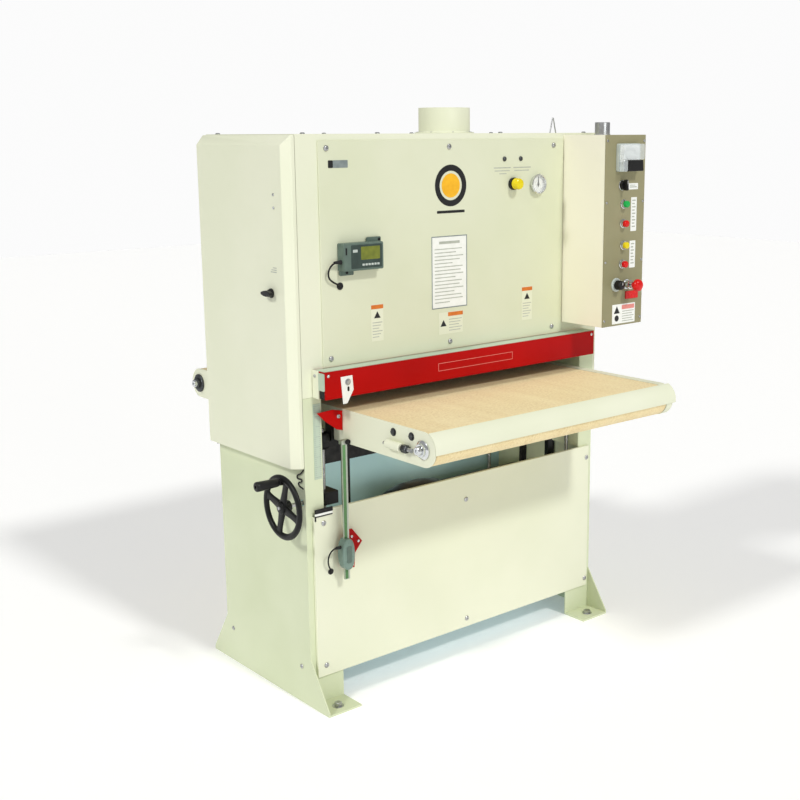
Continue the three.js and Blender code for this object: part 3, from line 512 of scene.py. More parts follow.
def bevelled(piece, width, crease):
    edges = piece.modifiers.new("edges", "BEVEL")
    edges.width = width
    edges.segments = 2
    edges.limit_method = "ANGLE"
    edges.angle_limit = math.radians(crease)
    edges.harden_normals = True


def piece(name, shape, look, body, bevel=0.0, replaces=(), crease=CREASE, slot=None):
    """Makes the shape an object that rides on a CAD body; the slot argument is not used."""
    bmesh.ops.recalc_face_normals(shape.bm, faces=shape.bm.faces)
    mesh = bpy.data.meshes.new(name)
    shape.bm.to_mesh(mesh)
    shape.bm.free()
    mesh.transform(Matrix.Translation(CORNER))
    smooth_over(mesh, crease)
    mesh.materials.append(look)
    made = bpy.data.objects.new(name, mesh)
    bpy.context.scene.collection.objects.link(made)
    if bevel:
        bevelled(made, bevel, crease)
    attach(made, body)
    if replaces:
        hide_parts(*replaces)
    return made


def dressed(node, look, bevel=0.0):
    """Gives a CAD node its material, and breaks its sharp edges."""
    cad = CAD[node]
    cad.data.materials.clear()
    cad.data.materials.append(look)
    for polygon in cad.data.polygons:
        polygon.material_index = 0
    if bevel:
        weld = cad.modifiers.new("weld", "WELD")
        weld.merge_threshold = 0.00001
        bevelled(cad, bevel, CREASE)


def radial_mark(shape, centre, turn, inner, outer, half, start, end):
    """Adds a short bar that points out from the middle of a dial."""
    c, s = math.cos(turn), math.sin(turn)
    corners = ((inner, -half), (outer, -half), (outer, half), (inner, half))
    shape.prism("y", [(centre[0] + r * c - w * s, centre[1] + r * s + w * c) for r, w in corners],
                start, end)


def border(x0, x1, z0, z1, line, start, end):
    """A rectangular frame on a front face, as wide as line."""
    outer = [(x0, z0), (x1, z0), (x1, z1), (x0, z1)]
    inner = [(x0 + line, z0 + line), (x1 - line, z0 + line), (x1 - line, z1 - line),
             (x0 + line, z1 - line)]
    return Shape().band("y", outer, inner, start, end)


def curve_through(name, route, radius, smoothness, look):
    """A round wire or lead that bends smoothly through the places of its route."""
    data = bpy.data.curves.new(name, "CURVE")
    data.dimensions = "3D"
    data.bevel_depth = radius
    data.bevel_resolution = smoothness
    data.use_fill_caps = True
    knots = data.splines.new("BEZIER").bezier_points
    knots.add(len(route) - 1)
    for knot, place in zip(knots, route):
        knot.co = CORNER + Vector(place)
        knot.handle_left_type = knot.handle_right_type = "AUTO"
    data.materials.append(look)
    made = bpy.data.objects.new(name, data)
    bpy.context.scene.collection.objects.link(made)
    return made


# ---------------------------------------------------------------- cords

# The leads' routes, which the CAD tubes follow.
READOUT_LEAD = [
    (0.1285, -0.022, 1.32), (0.118, -0.022, 1.32), (0.107, -0.021, 1.318), (0.097, -0.02, 1.312),
    (0.09, -0.019, 1.302), (0.088, -0.017, 1.289), (0.092, -0.015, 1.277), (0.101, -0.014, 1.268),
    (0.113, -0.0125, 1.261), (0.124, -0.011, 1.256), (0.131, -0.0096, 1.2525), (0.134, -0.008, 1.251),
    (0.1346, -0.0064, 1.2508),
]
SCALE_LEAD = [
    (0.0795, -0.046, 0.494), (0.07, -0.046, 0.495), (0.061, -0.044, 0.491), (0.054, -0.04, 0.482),
    (0.051, -0.035, 0.469), (0.052, -0.03, 0.455), (0.056, -0.026, 0.441), (0.062, -0.022, 0.43),
    (0.068, -0.0185, 0.421), (0.0715, -0.0155, 0.416), (0.073, -0.0132, 0.4135),
]


def lead(name, route, diameter, node):
    """A rubber lead that the machine holds at both ends."""
    made = curve_through(name, route, diameter / 2, 6, CORD_RUBBER)
    made.data.resolution_u = 8
    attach(made, "frame")
    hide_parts(node)


make_camera()
lead("readout_lead", READOUT_LEAD, 0.0052, "readout_cable")
lead("scale_lead", SCALE_LEAD, 0.0044, "scale_cable")
make_stage()


# ---------------------------------------------------------------- small fittings


def round_screw(shape, axis, place, radius=0.008, height=0.0035, out=-1):
    """A domed socket screw whose head stands out from place along the axis, to the side of out."""
    along, centre = split(axis, place)
    rise = [(0.0, 0.0), (0.0, radius), (0.45, radius), (0.8, radius * 0.86), (1.0, radius * 0.6),
            (1.0, radius * 0.42), (0.5, radius * 0.36), (0.5, 0.0)]
    return shape.turned(axis, centre, [(along + out * height * t, r) for t, r in rise], 24)


def hex_bolt(shape, axis, place, across=0.008, height=0.007, out=-1):
    """A washer and a hexagonal head with a chamfered crown."""
    along, (u, v) = split(axis, place)
    washer = along + out * 0.0015
    shape.turned(axis, (u, v), [(along, 0.0), (along, across * 1.35), (washer, across * 1.35),
                                (washer, 0.0)], 28)
    levels = [(washer, 1.0), (along + out * height * 0.85, 1.0), (along + out * height, 0.84)]
    return shape.rings([[point(axis, a, *p) for p in circle(u, v, across * k, 6)] for a, k in levels])


def screws(name, axis, places, body, look=ZINC, radius=0.008, height=0.0035, out=-1):
    shape = Shape()
    for place in places:
        round_screw(shape, axis, place, radius, height, out)
    return piece(name, shape, look, body, slot="steel")


def bolts(name, axis, places, body, look=ZINC, across=0.008, height=0.007, out=-1):
    shape = Shape()
    for place in places:
        hex_bolt(shape, axis, place, across, height, out)
    return piece(name, shape, look, body, slot="steel")


def wire(name, look, route, radius, body):
    bent = curve_through(name, route, radius, 4, look)
    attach(bent, body)


def plaque(name, look, body, x0, x1, z0, z1, face, thick=PROUD, corner=0.002):
    """A thin plate on a face that looks to the front."""
    shape = Shape().prism("y", rounded(x0, x1, z0, z1, corner), face - thick, face - GAP)
    return piece(name, shape, look, body, crease=50)


def print_rows(name, look, body, rows, face):
    """Plain printed bars on a front face, each (x0, x1, z0, z1)."""
    shape = Shape()
    for x0, x1, z0, z1 in rows:
        shape.block(x0, x1, face - 0.0003, face, z0, z1)
    return piece(name, shape, look, body)


# ---------------------------------------------------------------- base

PANEL_FACE = span("base_front_panel")[0].y


def make_base():
    for node in ("left_side_frame", "right_side_frame"):
        dressed(node, SHADED_SIDE_CREAM, 0.0011)
    dressed("base_front_panel", CREAM, 0.0011)
    dressed("base_pan", BLUE_GREY, 0.0008)
    panel_screws = [(0.053, 0.566), (0.604, 0.526), (1.164, 0.564), (0.05, 0.124), (0.606, 0.12),
                    (1.165, 0.118)]
    screws("front_panel_screws", "y", [(x, PANEL_FACE, z) for x, z in panel_screws], "frame")
    side_screws = [(0.441, 0.112), (0.047, 0.116)]
    screws("left_base_screws", "x", [(0.0, y, z) for y, z in side_screws], "frame", radius=0.007)
    screws("right_base_screws", "x", [(WIDTH, y, z) for y, z in side_screws], "frame", radius=0.007,
           out=1)
    pan_low, pan_high = span("base_pan")
    rear = pan_high.y + 0.0012
    skin = Shape().block(pan_low.x + 0.001, pan_high.x - 0.001, pan_high.y + 0.0001, rear,
                         pan_low.z + 0.001, pan_high.z - 0.001)
    piece("base_rear_skin", skin, CREAM, "frame", 0.0004)
    screws("rear_pan_screws", "y", [(x, rear, z) for x in (0.09, 0.42, 0.78, 1.1) for z in (0.13, 0.57)],
           "frame", out=1)
    louvres = Shape()
    for k in range(7):
        z = 0.24 + 0.035 * k
        louvres.prism("x", [(rear - 0.001, z), (rear + 0.007, z), (rear - 0.001, z + 0.018)], 0.62, 0.98)
    piece("rear_louvres", louvres, CREAM, "frame", 0.0008)
    # The black sealing strip over the notch of the front panel, with the lip and the clip below it.
    left, right, back = 0.022, 0.083, PANEL_FACE - 0.0002
    notch = Shape().prism("x", rounded(PANEL_FACE - 0.006, back, 0.5995, 0.6125, 0.0024), left, right)
    piece("notch_seal", notch, BLACK_RUBBER, "frame", 0.0008)
    lip = Shape().block(left, right, PANEL_FACE - 0.0045, back, 0.5925, 0.5994)
    piece("notch_lip", lip, WHITE_LABEL, "frame", 0.0006)
    clip = Shape().block(left, right, PANEL_FACE - 0.0035, back, 0.5885, 0.5924)
    clip.block(left, 0.0255, PANEL_FACE - 0.0035, back, 0.5765, 0.5884)
    piece("notch_clip", clip, BLACK_RUBBER, "frame", 0.0004)
    feet = Shape()
    for x in (0.0585, WIDTH - 0.0585):
        for y in (-0.052, DEPTH + 0.052):
            hex_bolt(feet, "z", (x, y, 0.006), 0.0125, 0.012, out=1)
    piece("floor_bolts", feet, ZINC, "frame")


# ---------------------------------------------------------------- head

COVER_FACE = span("front_cover_plate")[0].y
DUCT = middle("dust_port")
DUCT_LOW, DUCT_HIGH = span("dust_port")
DUCT_RADIUS = 0.0815


def make_head():
    dressed("head_shell", CREAM, 0.0012)
    dressed("front_cover_plate", SHADED_COVER_CREAM, 0.0012)
    dressed("right_side_cover", CREAM, 0.0012)
    top, foot, outer = DUCT_HIGH.z, DUCT_LOW.z, DUCT_RADIUS
    inner = outer - 0.0025
    duct = Shape().turned("z", (DUCT.x, DUCT.y), [
        (foot, outer + 0.013), (foot + 0.003, outer + 0.013), (foot + 0.0035, outer + 0.002),
        (foot + 0.006, outer), (top - 0.0004, outer), (top, outer - 0.0006), (top, inner + 0.0004),
        (top - 0.0008, inner), (foot, inner)], 96)
    piece("dust_port_collar", duct, CREAM, "frame", replaces=["dust_port"])
    rivets = Shape()
    for k in range(8):
        angle = 2 * math.pi * (k + 0.5) / 8
        reach = DUCT_RADIUS + 0.0075
        round_screw(rivets, "z", (DUCT.x + reach * math.cos(angle), DUCT.y + reach * math.sin(angle),
                                  foot + 0.003), 0.0035, 0.002, out=1)
    piece("duct_rivets", rivets, ZINC, "frame")

    cover_places = [(x, COVER_FACE, z) for x in (0.099, 0.546, 0.99) for z in (1.045, 1.635)]
    screws("cover_screws", "y", cover_places, "frame", radius=0.0082, height=0.0045)
    roof = HEAD_HIGH.z
    roof_places = [(x, 0.012, roof) for x in (0.034, 0.29, 0.77, 1.146)]
    roof_places += [(x, DEPTH - 0.012, roof) for x in (0.034, 0.42, 0.78, 1.146)]
    screws("roof_screws", "z", roof_places, "frame", radius=0.007, height=0.004, out=1)

    rear_plate = Shape().prism("y", rounded(0.075, 1.12, 1.02, 1.64, 0.006),
                               DEPTH + 0.0002, DEPTH + 0.0025)
    piece("rear_cover_plate", rear_plate, CREAM, "frame", 0.0005)
    rear_screws = [(x, DEPTH + 0.0025, z) for x in (0.095, 0.43, 0.765, 1.1) for z in (1.04, 1.62)]
    screws("rear_cover_screws", "y", rear_screws, "frame", out=1)
    side = span("right_side_cover")[1].x
    side_places = [(side, y, z) for y in (0.03, DEPTH - 0.03) for z in (0.775, 1.05, 1.33, 1.62)]
    screws("side_cover_screws", "x", side_places, "frame", out=1)
    vents = Shape()
    for k in range(8):
        z = 0.86 + 0.024 * k
        vents.prism("y", [(side - 0.001, z), (side + 0.006, z), (side - 0.001, z + 0.013)], 0.15, 0.33)
    piece("side_cover_louvres", vents, CREAM, "frame", 0.0006)

    # The lifting bail that stands on the roof.
    bail = [(1.087, 0.0), (1.092, 0.018), (1.098, 0.042), (1.101, 0.048), (1.104, 0.042),
            (1.11, 0.018), (1.115, 0.0)]
    wire("roof_bail", ZINC, [(x, 0.11, roof + rise) for x, rise in bail], 0.0021, "frame")
    # The spring clip below the front edge of the belt door.
    wire("door_clip", BLACK_PLASTIC, [
        (-0.002, 0.004, 0.733), (-0.003, 0.014, 0.722), (-0.004, 0.034, 0.706), (-0.003, 0.012, 0.7),
        (-0.004, 0.028, 0.688), (-0.003, 0.006, 0.676)], 0.0022, "frame")


def make_cover_labels():
    face = COVER_FACE
    plaque("model_plate_dark", BLACK_LABEL, "frame", 0.105, 0.121, 1.581, 1.602, face)
    plaque("model_plate_grey", GREY_LABEL, "frame", 0.1212, 0.172, 1.581, 1.602, face)
    # A plain roundel: a dark ring, an amber disc off to its lower right, and a short bar below.
    u, v, proud, back = 0.552, 1.52, face - PROUD, face - GAP
    ring = Shape().band("y", circle(u, v, 0.062, 72), circle(u, v, 0.044, 72), proud, back)
    piece("roundel_ring", ring, BLACK_LABEL, "frame")
    disc = Shape().prism("y", circle(u, v, 0.036, 64), proud, back)
    piece("roundel_disc", disc, AMBER_LABEL, "frame")
    bar = Shape().prism("y", rounded(u - 0.055, u + 0.055, 1.438, 1.446, 0.002), proud, back)
    piece("roundel_bar", bar, BLACK_LABEL, "frame")

    x0, x1, z0, z1 = 0.474, 0.616, 1.15, 1.37
    plaque("placard", WHITE_LABEL, "frame", x0, x1, z0, z1, face, corner=0.001)
    edge = border(x0, x1, z0, z1, 0.003, face - 0.001, face - PROUD)
    piece("placard_border", edge, GREY_LABEL, "frame")
    rows = [(x0 + 0.03, x1 - 0.03, z1 - 0.024, z1 - 0.016)]
    lengths = (0.93, 0.72, 0.97, 0.85, 0.6, 0.95, 0.88, 0.97, 0.7, 0.92, 0.84, 0.97, 0.66, 0.9, 0.95, 0.5)
    for k, share in enumerate(lengths):
        z = z1 - 0.038 - 0.0108 * k
        rows.append((x0 + 0.012, x0 + 0.012 + (x1 - x0 - 0.024) * share, z - 0.0028, z))
    print_rows("placard_lines", FAINT_PRINT, "frame", rows, face - PROUD)

    def notice(name, x0, x1, z1, upright):
        """A notice with an orange header, a plain picture block and faint lines."""
        tall, wide = (0.108 if upright else 0.067), x1 - x0
        plaque(name, CREAM, "frame", x0, x1, z1 - tall, z1, face, corner=0.001)
        head = x0 if upright else x0 + wide * 0.38
        print_rows(name + "_header", ORANGE_LABEL, "frame",
                   [(head, x1, z1 - 0.013, z1 - 0.001)], face - PROUD)
        centre_x = (x0 + x1) / 2 if upright else x0 + wide * 0.19
        centre_z = z1 - (0.031 if upright else 0.034)
        triangle = [(centre_x - 0.012, centre_z - 0.009), (centre_x + 0.012, centre_z - 0.009),
                    (centre_x, centre_z + 0.011)]
        icon = Shape().prism("y", triangle, face - 0.0009, face - PROUD)
        piece(name + "_sign", icon, BLACK_LABEL, "frame")
        left = x0 + 0.004 if upright else x0 + wide * 0.42
        top = z1 - (0.052 if upright else 0.022)
        lines = [(left, x1 - 0.004 - 0.006 * (k % 3), top - 0.0085 * k - 0.0022, top - 0.0085 * k)
                 for k in range(6 if upright else 5)]
        print_rows(name + "_lines", FAINT_PRINT, "frame", lines, face - PROUD)

    notice("notice_left", 0.244, 0.288, 1.186, True)
    notice("notice_middle", 0.501, 0.598, 1.137, False)
    notice("notice_right", 0.852, 0.898, 1.187, True)

    # The two belt-tracking lamps, and the faint lines printed under them.
    lamps = Shape()
    for x in (0.773, 0.843):
        lamps.turned("y", (x, 1.595), outwards(face, [
            (0.0, 0.0), (0.0, 0.0075), (0.003, 0.007), (0.005, 0.0045), (0.0058, 0.0)]), 32)
    piece("tracking_lamps", lamps, DARK_STEEL, "frame")
    tracks = [(0.728, 0.8, 1.5665, 1.5695), (0.812, 0.888, 1.5665, 1.5695),
              (0.732, 0.796, 1.5575, 1.56), (0.816, 0.88, 1.5575, 1.56),
              (0.752, 0.782, 1.5485, 1.551)]
    print_rows("tracking_lines", FAINT_PRINT, "frame", tracks, face)


# ---------------------------------------------------------------- air regulator, gauge and readout


def make_air_controls():
    knob = middle("regulator_knob")
    face, centre = COVER_FACE, (knob.x, knob.z)
    collar = Shape().turned("y", centre, outwards(face, [
        (0.0, 0.0), (0.0, 0.0185), (0.003, 0.0193), (0.01, 0.0193), (0.0115, 0.0183),
        (0.0115, 0.0)]), 64)
    piece("regulator_collar", collar, BLACK_PLASTIC, "frame")
    levels = [(0.0125, 0.016, 0.0), (0.014, 0.0173, 0.022), (0.0295, 0.017, 0.022),
              (0.0335, 0.016, 0.0), (0.0355, 0.0132, 0.0), (0.036, 0.0, 0.0)]
    piece("regulator_grip", Shape().rings(ribbed(centre, face, levels, 30, 120)), YELLOW_PLASTIC,
          "regulator_knob", replaces=["regulator_knob"])

    gauge = middle("pressure_gauge")
    centre = (gauge.x, gauge.z)
    case = Shape().turned("y", centre, outwards(face, [
        (0.0, 0.0), (0.0, 0.0285), (0.004, 0.0298), (0.0125, 0.0318), (0.0148, 0.0316),
        (0.016, 0.0302), (0.016, 0.0286), (0.015, 0.0278), (0.0062, 0.0276), (0.0062, 0.0)]), 72)
    piece("gauge_case", case, CHROME, "frame", replaces=["pressure_gauge"])
    dial = Shape().turned("y", centre, outwards(face, [
        (0.0063, 0.0), (0.0063, 0.0272), (0.0069, 0.0272), (0.0069, 0.0)]), 64)
    piece("gauge_dial", dial, WHITE_LABEL, "frame")
    ticks = Shape()
    for k in range(21):
        inner = 0.0205 if k % 4 == 0 else 0.0228
        radial_mark(ticks, centre, math.radians(-45 + 270 * k / 20), inner, 0.0255, 0.0005,
                    face - 0.0073, face - 0.0069)
    piece("gauge_ticks", ticks, BLACK_LABEL, "frame")
    lens = Shape().turned("y", centre, outwards(face, [
        (0.0135, 0.0), (0.0135, 0.0276), (0.0142, 0.0276), (0.015, 0.0)]), 64)
    piece("gauge_lens", lens, GLASS, "frame")
    dressed("gauge_needle", BLACK_LABEL)


def make_readout():
    low, high = span("readout_box")
    face = low.y
    body = Shape().prism("y", rounded(low.x, high.x, low.z, high.z, 0.004), face + 0.002, high.y)
    piece("readout_case", body, READOUT_PLASTIC, "frame", 0.0012, replaces=["readout_box"])
    outline = rounded(low.x + 0.001, high.x - 0.001, low.z + 0.001, high.z - 0.001, 0.004)
    front = Shape().prism("y", outline, face + 0.0004, face + 0.0022)
    piece("readout_front", front, READOUT_PLASTIC, "frame", 0.0006)
    outline = rounded(low.x + 0.024, high.x - 0.006, low.z + 0.006, high.z - 0.005, 0.003)
    panel = Shape().prism("y", outline, face - 0.0002, face + 0.0006)
    piece("readout_fascia", panel, READOUT_DARK, "frame", 0.0003)
    glass = rounded(low.x + 0.058, high.x - 0.014, low.z + 0.03, high.z - 0.011, 0.002)
    screen = Shape().prism("y", glass, face - 0.0008, face - GAP)
    piece("readout_screen", screen, LCD, "frame", 0.0002)
    keys = Shape()
    for k in range(6):
        x = low.x + 0.062 + 0.0105 * k
        key = rounded(x, x + 0.0078, low.z + 0.013, low.z + 0.019, 0.0012)
        keys.prism("y", key, face - 0.0018, face - GAP)
    piece("readout_keys", keys, GREY_PLASTIC, "frame", 0.0004)
    slot = Shape().block(low.x + 0.005, low.x + 0.01, face - 0.0004, face + 0.0006,
                         low.z + 0.046, low.z + 0.066)
    piece("readout_slot", slot, BLACK_PLASTIC, "frame", 0.0004)
    mark = Shape().prism("y", rounded(low.x + 0.03, low.x + 0.046, low.z + 0.052, low.z + 0.06, 0.001),
                         face - PROUD, face - GAP)
    piece("readout_mark", mark, GREY_PLASTIC, "frame")
    # Two ears of the bracket that holds the case, each with its screw.
    ears = Shape()
    ears.prism("y", rounded(high.x - 0.04, high.x + 0.01, high.z - 0.004, high.z + 0.012, 0.003),
               high.y - 0.008, high.y - 0.003)
    ears.prism("y", rounded(low.x + 0.002, low.x + 0.05, low.z - 0.014, low.z + 0.004, 0.003),
               high.y - 0.008, high.y - 0.003)
    ears.block(low.x + 0.05, high.x + 0.006, high.y - 0.008, high.y - 0.003, low.z - 0.003, low.z + 0.002)
    piece("readout_bracket", ears, READOUT_PLASTIC, "frame", 0.0006)
    ear_screws = [(high.x + 0.003, high.y - 0.008, high.z + 0.0045),
                  (low.x + 0.026, high.y - 0.008, low.z - 0.006)]
    screws("readout_screws", "y", ear_screws, "frame", BLACK_PLASTIC, 0.0042, 0.003)
    # The moulded plug on the lead, and the grommet where the lead goes through the cover.
    plug = Shape().turned("x", (-0.022, 1.32), [
        (low.x + 0.0002, 0.0), (low.x + 0.0002, 0.0062), (low.x - 0.006, 0.0062), (low.x - 0.008, 0.0052),
        (low.x - 0.024, 0.0036), (low.x - 0.025, 0.003), (low.x - 0.025, 0.0)], 32)
    piece("readout_plug", plug, BLACK_RUBBER, "frame", slot="black_plastic")
    grommet = Shape().turned("y", (0.135, 1.2505), outwards(COVER_FACE, [
        (0.0, 0.0), (0.0, 0.0105), (0.002, 0.0108), (0.0042, 0.0092), (0.005, 0.006),
        (0.0042, 0.003), (0.0042, 0.0)]), 40)
    piece("readout_grommet", grommet, BLACK_RUBBER, "frame")


# ---------------------------------------------------------------- control box

PLATE_LOW, PLATE_HIGH = span("control_plate")
PLATE_FACE = PLATE_LOW.y
BUTTON_LOOKS = {"sander_start_button": GREEN_PLASTIC, "sander_stop_button": RED_PLASTIC,
                "feed_start_button": YELLOW_PLASTIC, "feed_stop_button": RED_PLASTIC}


def from_plate(profile):
    return outwards(PLATE_FACE, profile)


def make_buttons():
    collars = Shape()
    for node, look in BUTTON_LOOKS.items():
        centre = (middle(node).x, middle(node).z)
        cap = Shape().turned("y", centre, from_plate([
            (-0.016, 0.0), (-0.016, 0.007), (0.0105, 0.007), (0.0105, 0.0104), (0.0185, 0.0108),
            (0.0204, 0.01), (0.021, 0.0084), (0.0207, 0.0)]), 56)
        piece(node + "_cap", cap, look, node, replaces=[node])
        collars.turned("y", centre, from_plate([
            (0.0002, 0.0074), (0.0002, 0.0148), (0.003, 0.0148), (0.0038, 0.014), (0.004, 0.0129),
            (0.0095, 0.0127), (0.0102, 0.0122), (0.0102, 0.0113), (0.0035, 0.0113), (0.0035, 0.0074)]), 56)
    piece("button_collars", collars, CHROME, "frame", crease=25)

    estop = middle("estop_button")
    centre = (estop.x, estop.z)
    mushroom = Shape().turned("y", centre, from_plate([
        (-0.016, 0.0), (-0.016, 0.007), (0.04, 0.007), (0.04, 0.0092), (0.044, 0.0165),
        (0.0462, 0.0196), (0.05, 0.0204), (0.0545, 0.02), (0.059, 0.0178), (0.0618, 0.015),
        (0.0634, 0.011), (0.0641, 0.006), (0.0643, 0.0)]), 72)
    piece("estop_mushroom", mushroom, RED_PLASTIC, "estop_button", replaces=["estop_button"], crease=50)
    collar = Shape().turned("y", centre, from_plate([
        (0.0002, 0.0074), (0.0002, 0.0165), (0.004, 0.0165), (0.005, 0.0155), (0.005, 0.013),
        (0.018, 0.0126), (0.019, 0.015), (0.0215, 0.015), (0.0225, 0.012), (0.032, 0.0112),
        (0.033, 0.0104), (0.033, 0.0074)]), 64)
    piece("estop_collar", collar, CHROME, "frame", crease=25)


def make_knobs():
    knob = middle("speed_knob")
    centre = (knob.x, knob.z)
    levels = [(0.0062, 0.015, 0.0), (0.0075, 0.0152, 0.035), (0.0255, 0.0142, 0.035),
              (0.0285, 0.013, 0.01), (0.03, 0.0108, 0.0)]
    grip = Shape().rings(ribbed(centre, PLATE_FACE, levels, 20, 100))
    grip.turned("y", centre, from_plate([(-0.014, 0.0), (-0.014, 0.006), (0.007, 0.006), (0.007, 0.0)]), 32)
    piece("speed_knob_grip", grip, BLACK_PLASTIC, "speed_knob", replaces=["speed_knob"], crease=40)
    bar = rounded(knob.x - 0.0008, knob.x + 0.0008, knob.z + 0.001, knob.z + 0.01, 0.0006)
    line = Shape().prism("y", bar, PLATE_FACE - 0.0304, PLATE_FACE - 0.0299)
    piece("speed_knob_line", line, WHITE_LABEL, "speed_knob")
    dial = Shape().turned("y", centre, from_plate([
        (0.0002, 0.0), (0.0002, 0.0225), (0.003, 0.0222), (0.0042, 0.0205), (0.0046, 0.0175),
        (0.0046, 0.0)]), 64)
    piece("speed_knob_dial", dial, GREY_PLASTIC, "frame")
    marks = Shape()
    for k in range(11):
        radial_mark(marks, centre, math.radians(-45 + 27 * k), 0.0168, 0.0195, 0.0004,
                    PLATE_FACE - 0.0049, PLATE_FACE - 0.0043)
    piece("speed_knob_marks", marks, BLACK_LABEL, "frame")

    switch = middle("selector_switch")
    u, v = centre = (switch.x, 1.509)
    stem = Shape().turned("y", centre, from_plate([
        (-0.014, 0.0), (-0.014, 0.006), (0.0045, 0.006), (0.0045, 0.0148), (0.011, 0.0142),
        (0.0124, 0.013), (0.0124, 0.0)]), 56)
    piece("selector_stem", stem, BLACK_PLASTIC, "selector_switch", replaces=["selector_switch"])
    wing = Shape().prism("y", [
        (u - 0.0052, v - 0.015), (u, v - 0.0168), (u + 0.0052, v - 0.015), (u + 0.0042, v),
        (u + 0.0046, v + 0.014), (u, v + 0.019), (u - 0.0046, v + 0.014), (u - 0.0042, v)],
        PLATE_FACE - 0.0262, PLATE_FACE - 0.011)
    piece("selector_wing", wing, BLACK_PLASTIC, "selector_switch", 0.0016)
    tip = Shape().prism("y", rounded(u - 0.0008, u + 0.0008, v + 0.004, v + 0.015, 0.0006),
                        PLATE_FACE - 0.0266, PLATE_FACE - 0.026)
    piece("selector_line", tip, WHITE_LABEL, "selector_switch")
    collar = Shape().turned("y", centre, from_plate([
        (0.0002, 0.0064), (0.0002, 0.0165), (0.003, 0.0165), (0.004, 0.0155), (0.004, 0.0064)]), 56)
    piece("selector_collar", collar, CHROME, "frame", crease=25)


def make_ammeter():
    x0, x1, z0, z1 = 1.088, 1.19, 1.552, 1.64
    face = PLATE_FACE
    base = Shape().prism("y", rounded(x0, x1, z0, z1, 0.006), face - 0.012, face - GAP)
    piece("ammeter_base", base, GREY_PLASTIC, "frame", 0.001)
    card = Shape().prism("y", rounded(x0 + 0.005, x1 - 0.005, z0 + 0.03, z1 - 0.005, 0.004),
                         face - 0.0128, face - 0.0121)
    piece("ammeter_card", card, WHITE_LABEL, "frame")
    pivot = ((x0 + x1) / 2, z0 + 0.026)
    scale = Shape()
    for k in range(13):
        inner = 0.043 if k % 3 == 0 else 0.046
        radial_mark(scale, pivot, math.radians(38 + 8.7 * k), inner, 0.05, 0.0005,
                    face - 0.0131, face - 0.0128)
    first, last = math.radians(38), math.radians(38 + 104.4)
    scale.prism("y", arc(*pivot, 0.0425, first, last, 24) + arc(*pivot, 0.0417, last, first, 24),
                face - 0.0131, face - 0.0128)
    piece("ammeter_scale", scale, BLACK_LABEL, "frame")
    lean = math.radians(128)
    tip = (pivot[0] + 0.047 * math.cos(lean), pivot[1] + 0.047 * math.sin(lean))
    needle = Shape().prism("y", [(pivot[0] - 0.0008, pivot[1]), (pivot[0] + 0.0008, pivot[1]), tip],
                           face - 0.0142, face - 0.0138)
    piece("ammeter_needle", needle, BLACK_LABEL, "frame")
    skirt = Shape().prism("y", [(x0 + 0.022, z0 + 0.001), (x1 - 0.006, z0 + 0.001),
                                (x1 - 0.009, z0 + 0.036), (x0 + 0.027, z0 + 0.036)],
                          face - 0.034, face - 0.0121)
    piece("ammeter_skirt", skirt, BLACK_PLASTIC, "frame", 0.0025)
    cover = Shape().prism("y", rounded(x0 + 0.001, x1 - 0.001, z0 + 0.037, z1 - 0.001, 0.006),
                          face - 0.033, face - 0.0145)
    cover.prism("y", rounded(x0 + 0.001, x0 + 0.021, z0 + 0.001, z0 + 0.0368, 0.004), face - 0.033,
                face - 0.0145)
    piece("ammeter_cover", cover, CLEAR_PLASTIC, "frame", 0.0022)


def make_control_labels():
    face = PLATE_FACE
    plaque("selector_label", WHITE_LABEL, "frame", 1.15, 1.196, 1.494, 1.514, face)
    print_rows("selector_lines", FAINT_PRINT, "frame",
               [(1.156, 1.19, 1.5005, 1.5035), (1.156, 1.182, 1.5065, 1.5085)], face - PROUD)
    for name, z0, z1, x0 in (("sander_strip", 1.36, 1.469, 1.164), ("feed_strip", 1.241, 1.329, 1.162)):
        plaque(name, WHITE_LABEL, "frame", x0, x0 + 0.028, z0, z1, face)
        rows = [(x0 + 0.006, x0 + 0.022 - 0.004 * (k % 2), z1 - 0.012 - 0.0105 * k, z1 - 0.008 - 0.0105 * k)
                for k in range(int((z1 - z0 - 0.01) / 0.0105))]
        print_rows(name + "_lines", FAINT_PRINT, "frame", rows, face - PROUD)
    plaque("stop_tag", RED_PLASTIC, "frame", 1.146, 1.206, 1.14, 1.165, face, 0.0035, 0.002)
    x0, x1, z0, z1 = 1.085, 1.196, 1.061, 1.125
    plaque("lower_notice", WHITE_LABEL, "frame", x0, x1, z0, z1, face)
    print_rows("lower_notice_header", PINK_LABEL, "frame",
               [(x0 + 0.046, x1 - 0.004, z1 - 0.018, z1 - 0.004)], face - PROUD)
    print_rows("lower_notice_lines", FAINT_PRINT, "frame",
               [(x0 + 0.048, x1 - 0.006 - 0.008 * (k % 2), z1 - 0.026 - 0.008 * k, z1 - 0.0235 - 0.008 * k)
                for k in range(5)], face - PROUD)
    sign = Shape()
    sign.prism("y", [(x0 + 0.008, z0 + 0.034), (x0 + 0.036, z0 + 0.034), (x0 + 0.022, z0 + 0.058)],
               face - 0.0009, face - PROUD)
    sign.prism("y", circle(x0 + 0.022, z0 + 0.018, 0.01, 24), face - 0.0009, face - PROUD)
    piece("lower_notice_sign", sign, BLACK_LABEL, "frame")
    places = [(x, face, z) for x in (PLATE_LOW.x + 0.008, PLATE_HIGH.x - 0.008)
              for z in (1.075, 1.265, 1.455, 1.648)]
    screws("plate_screws", "y", places, "frame", radius=0.0042, height=0.0028)


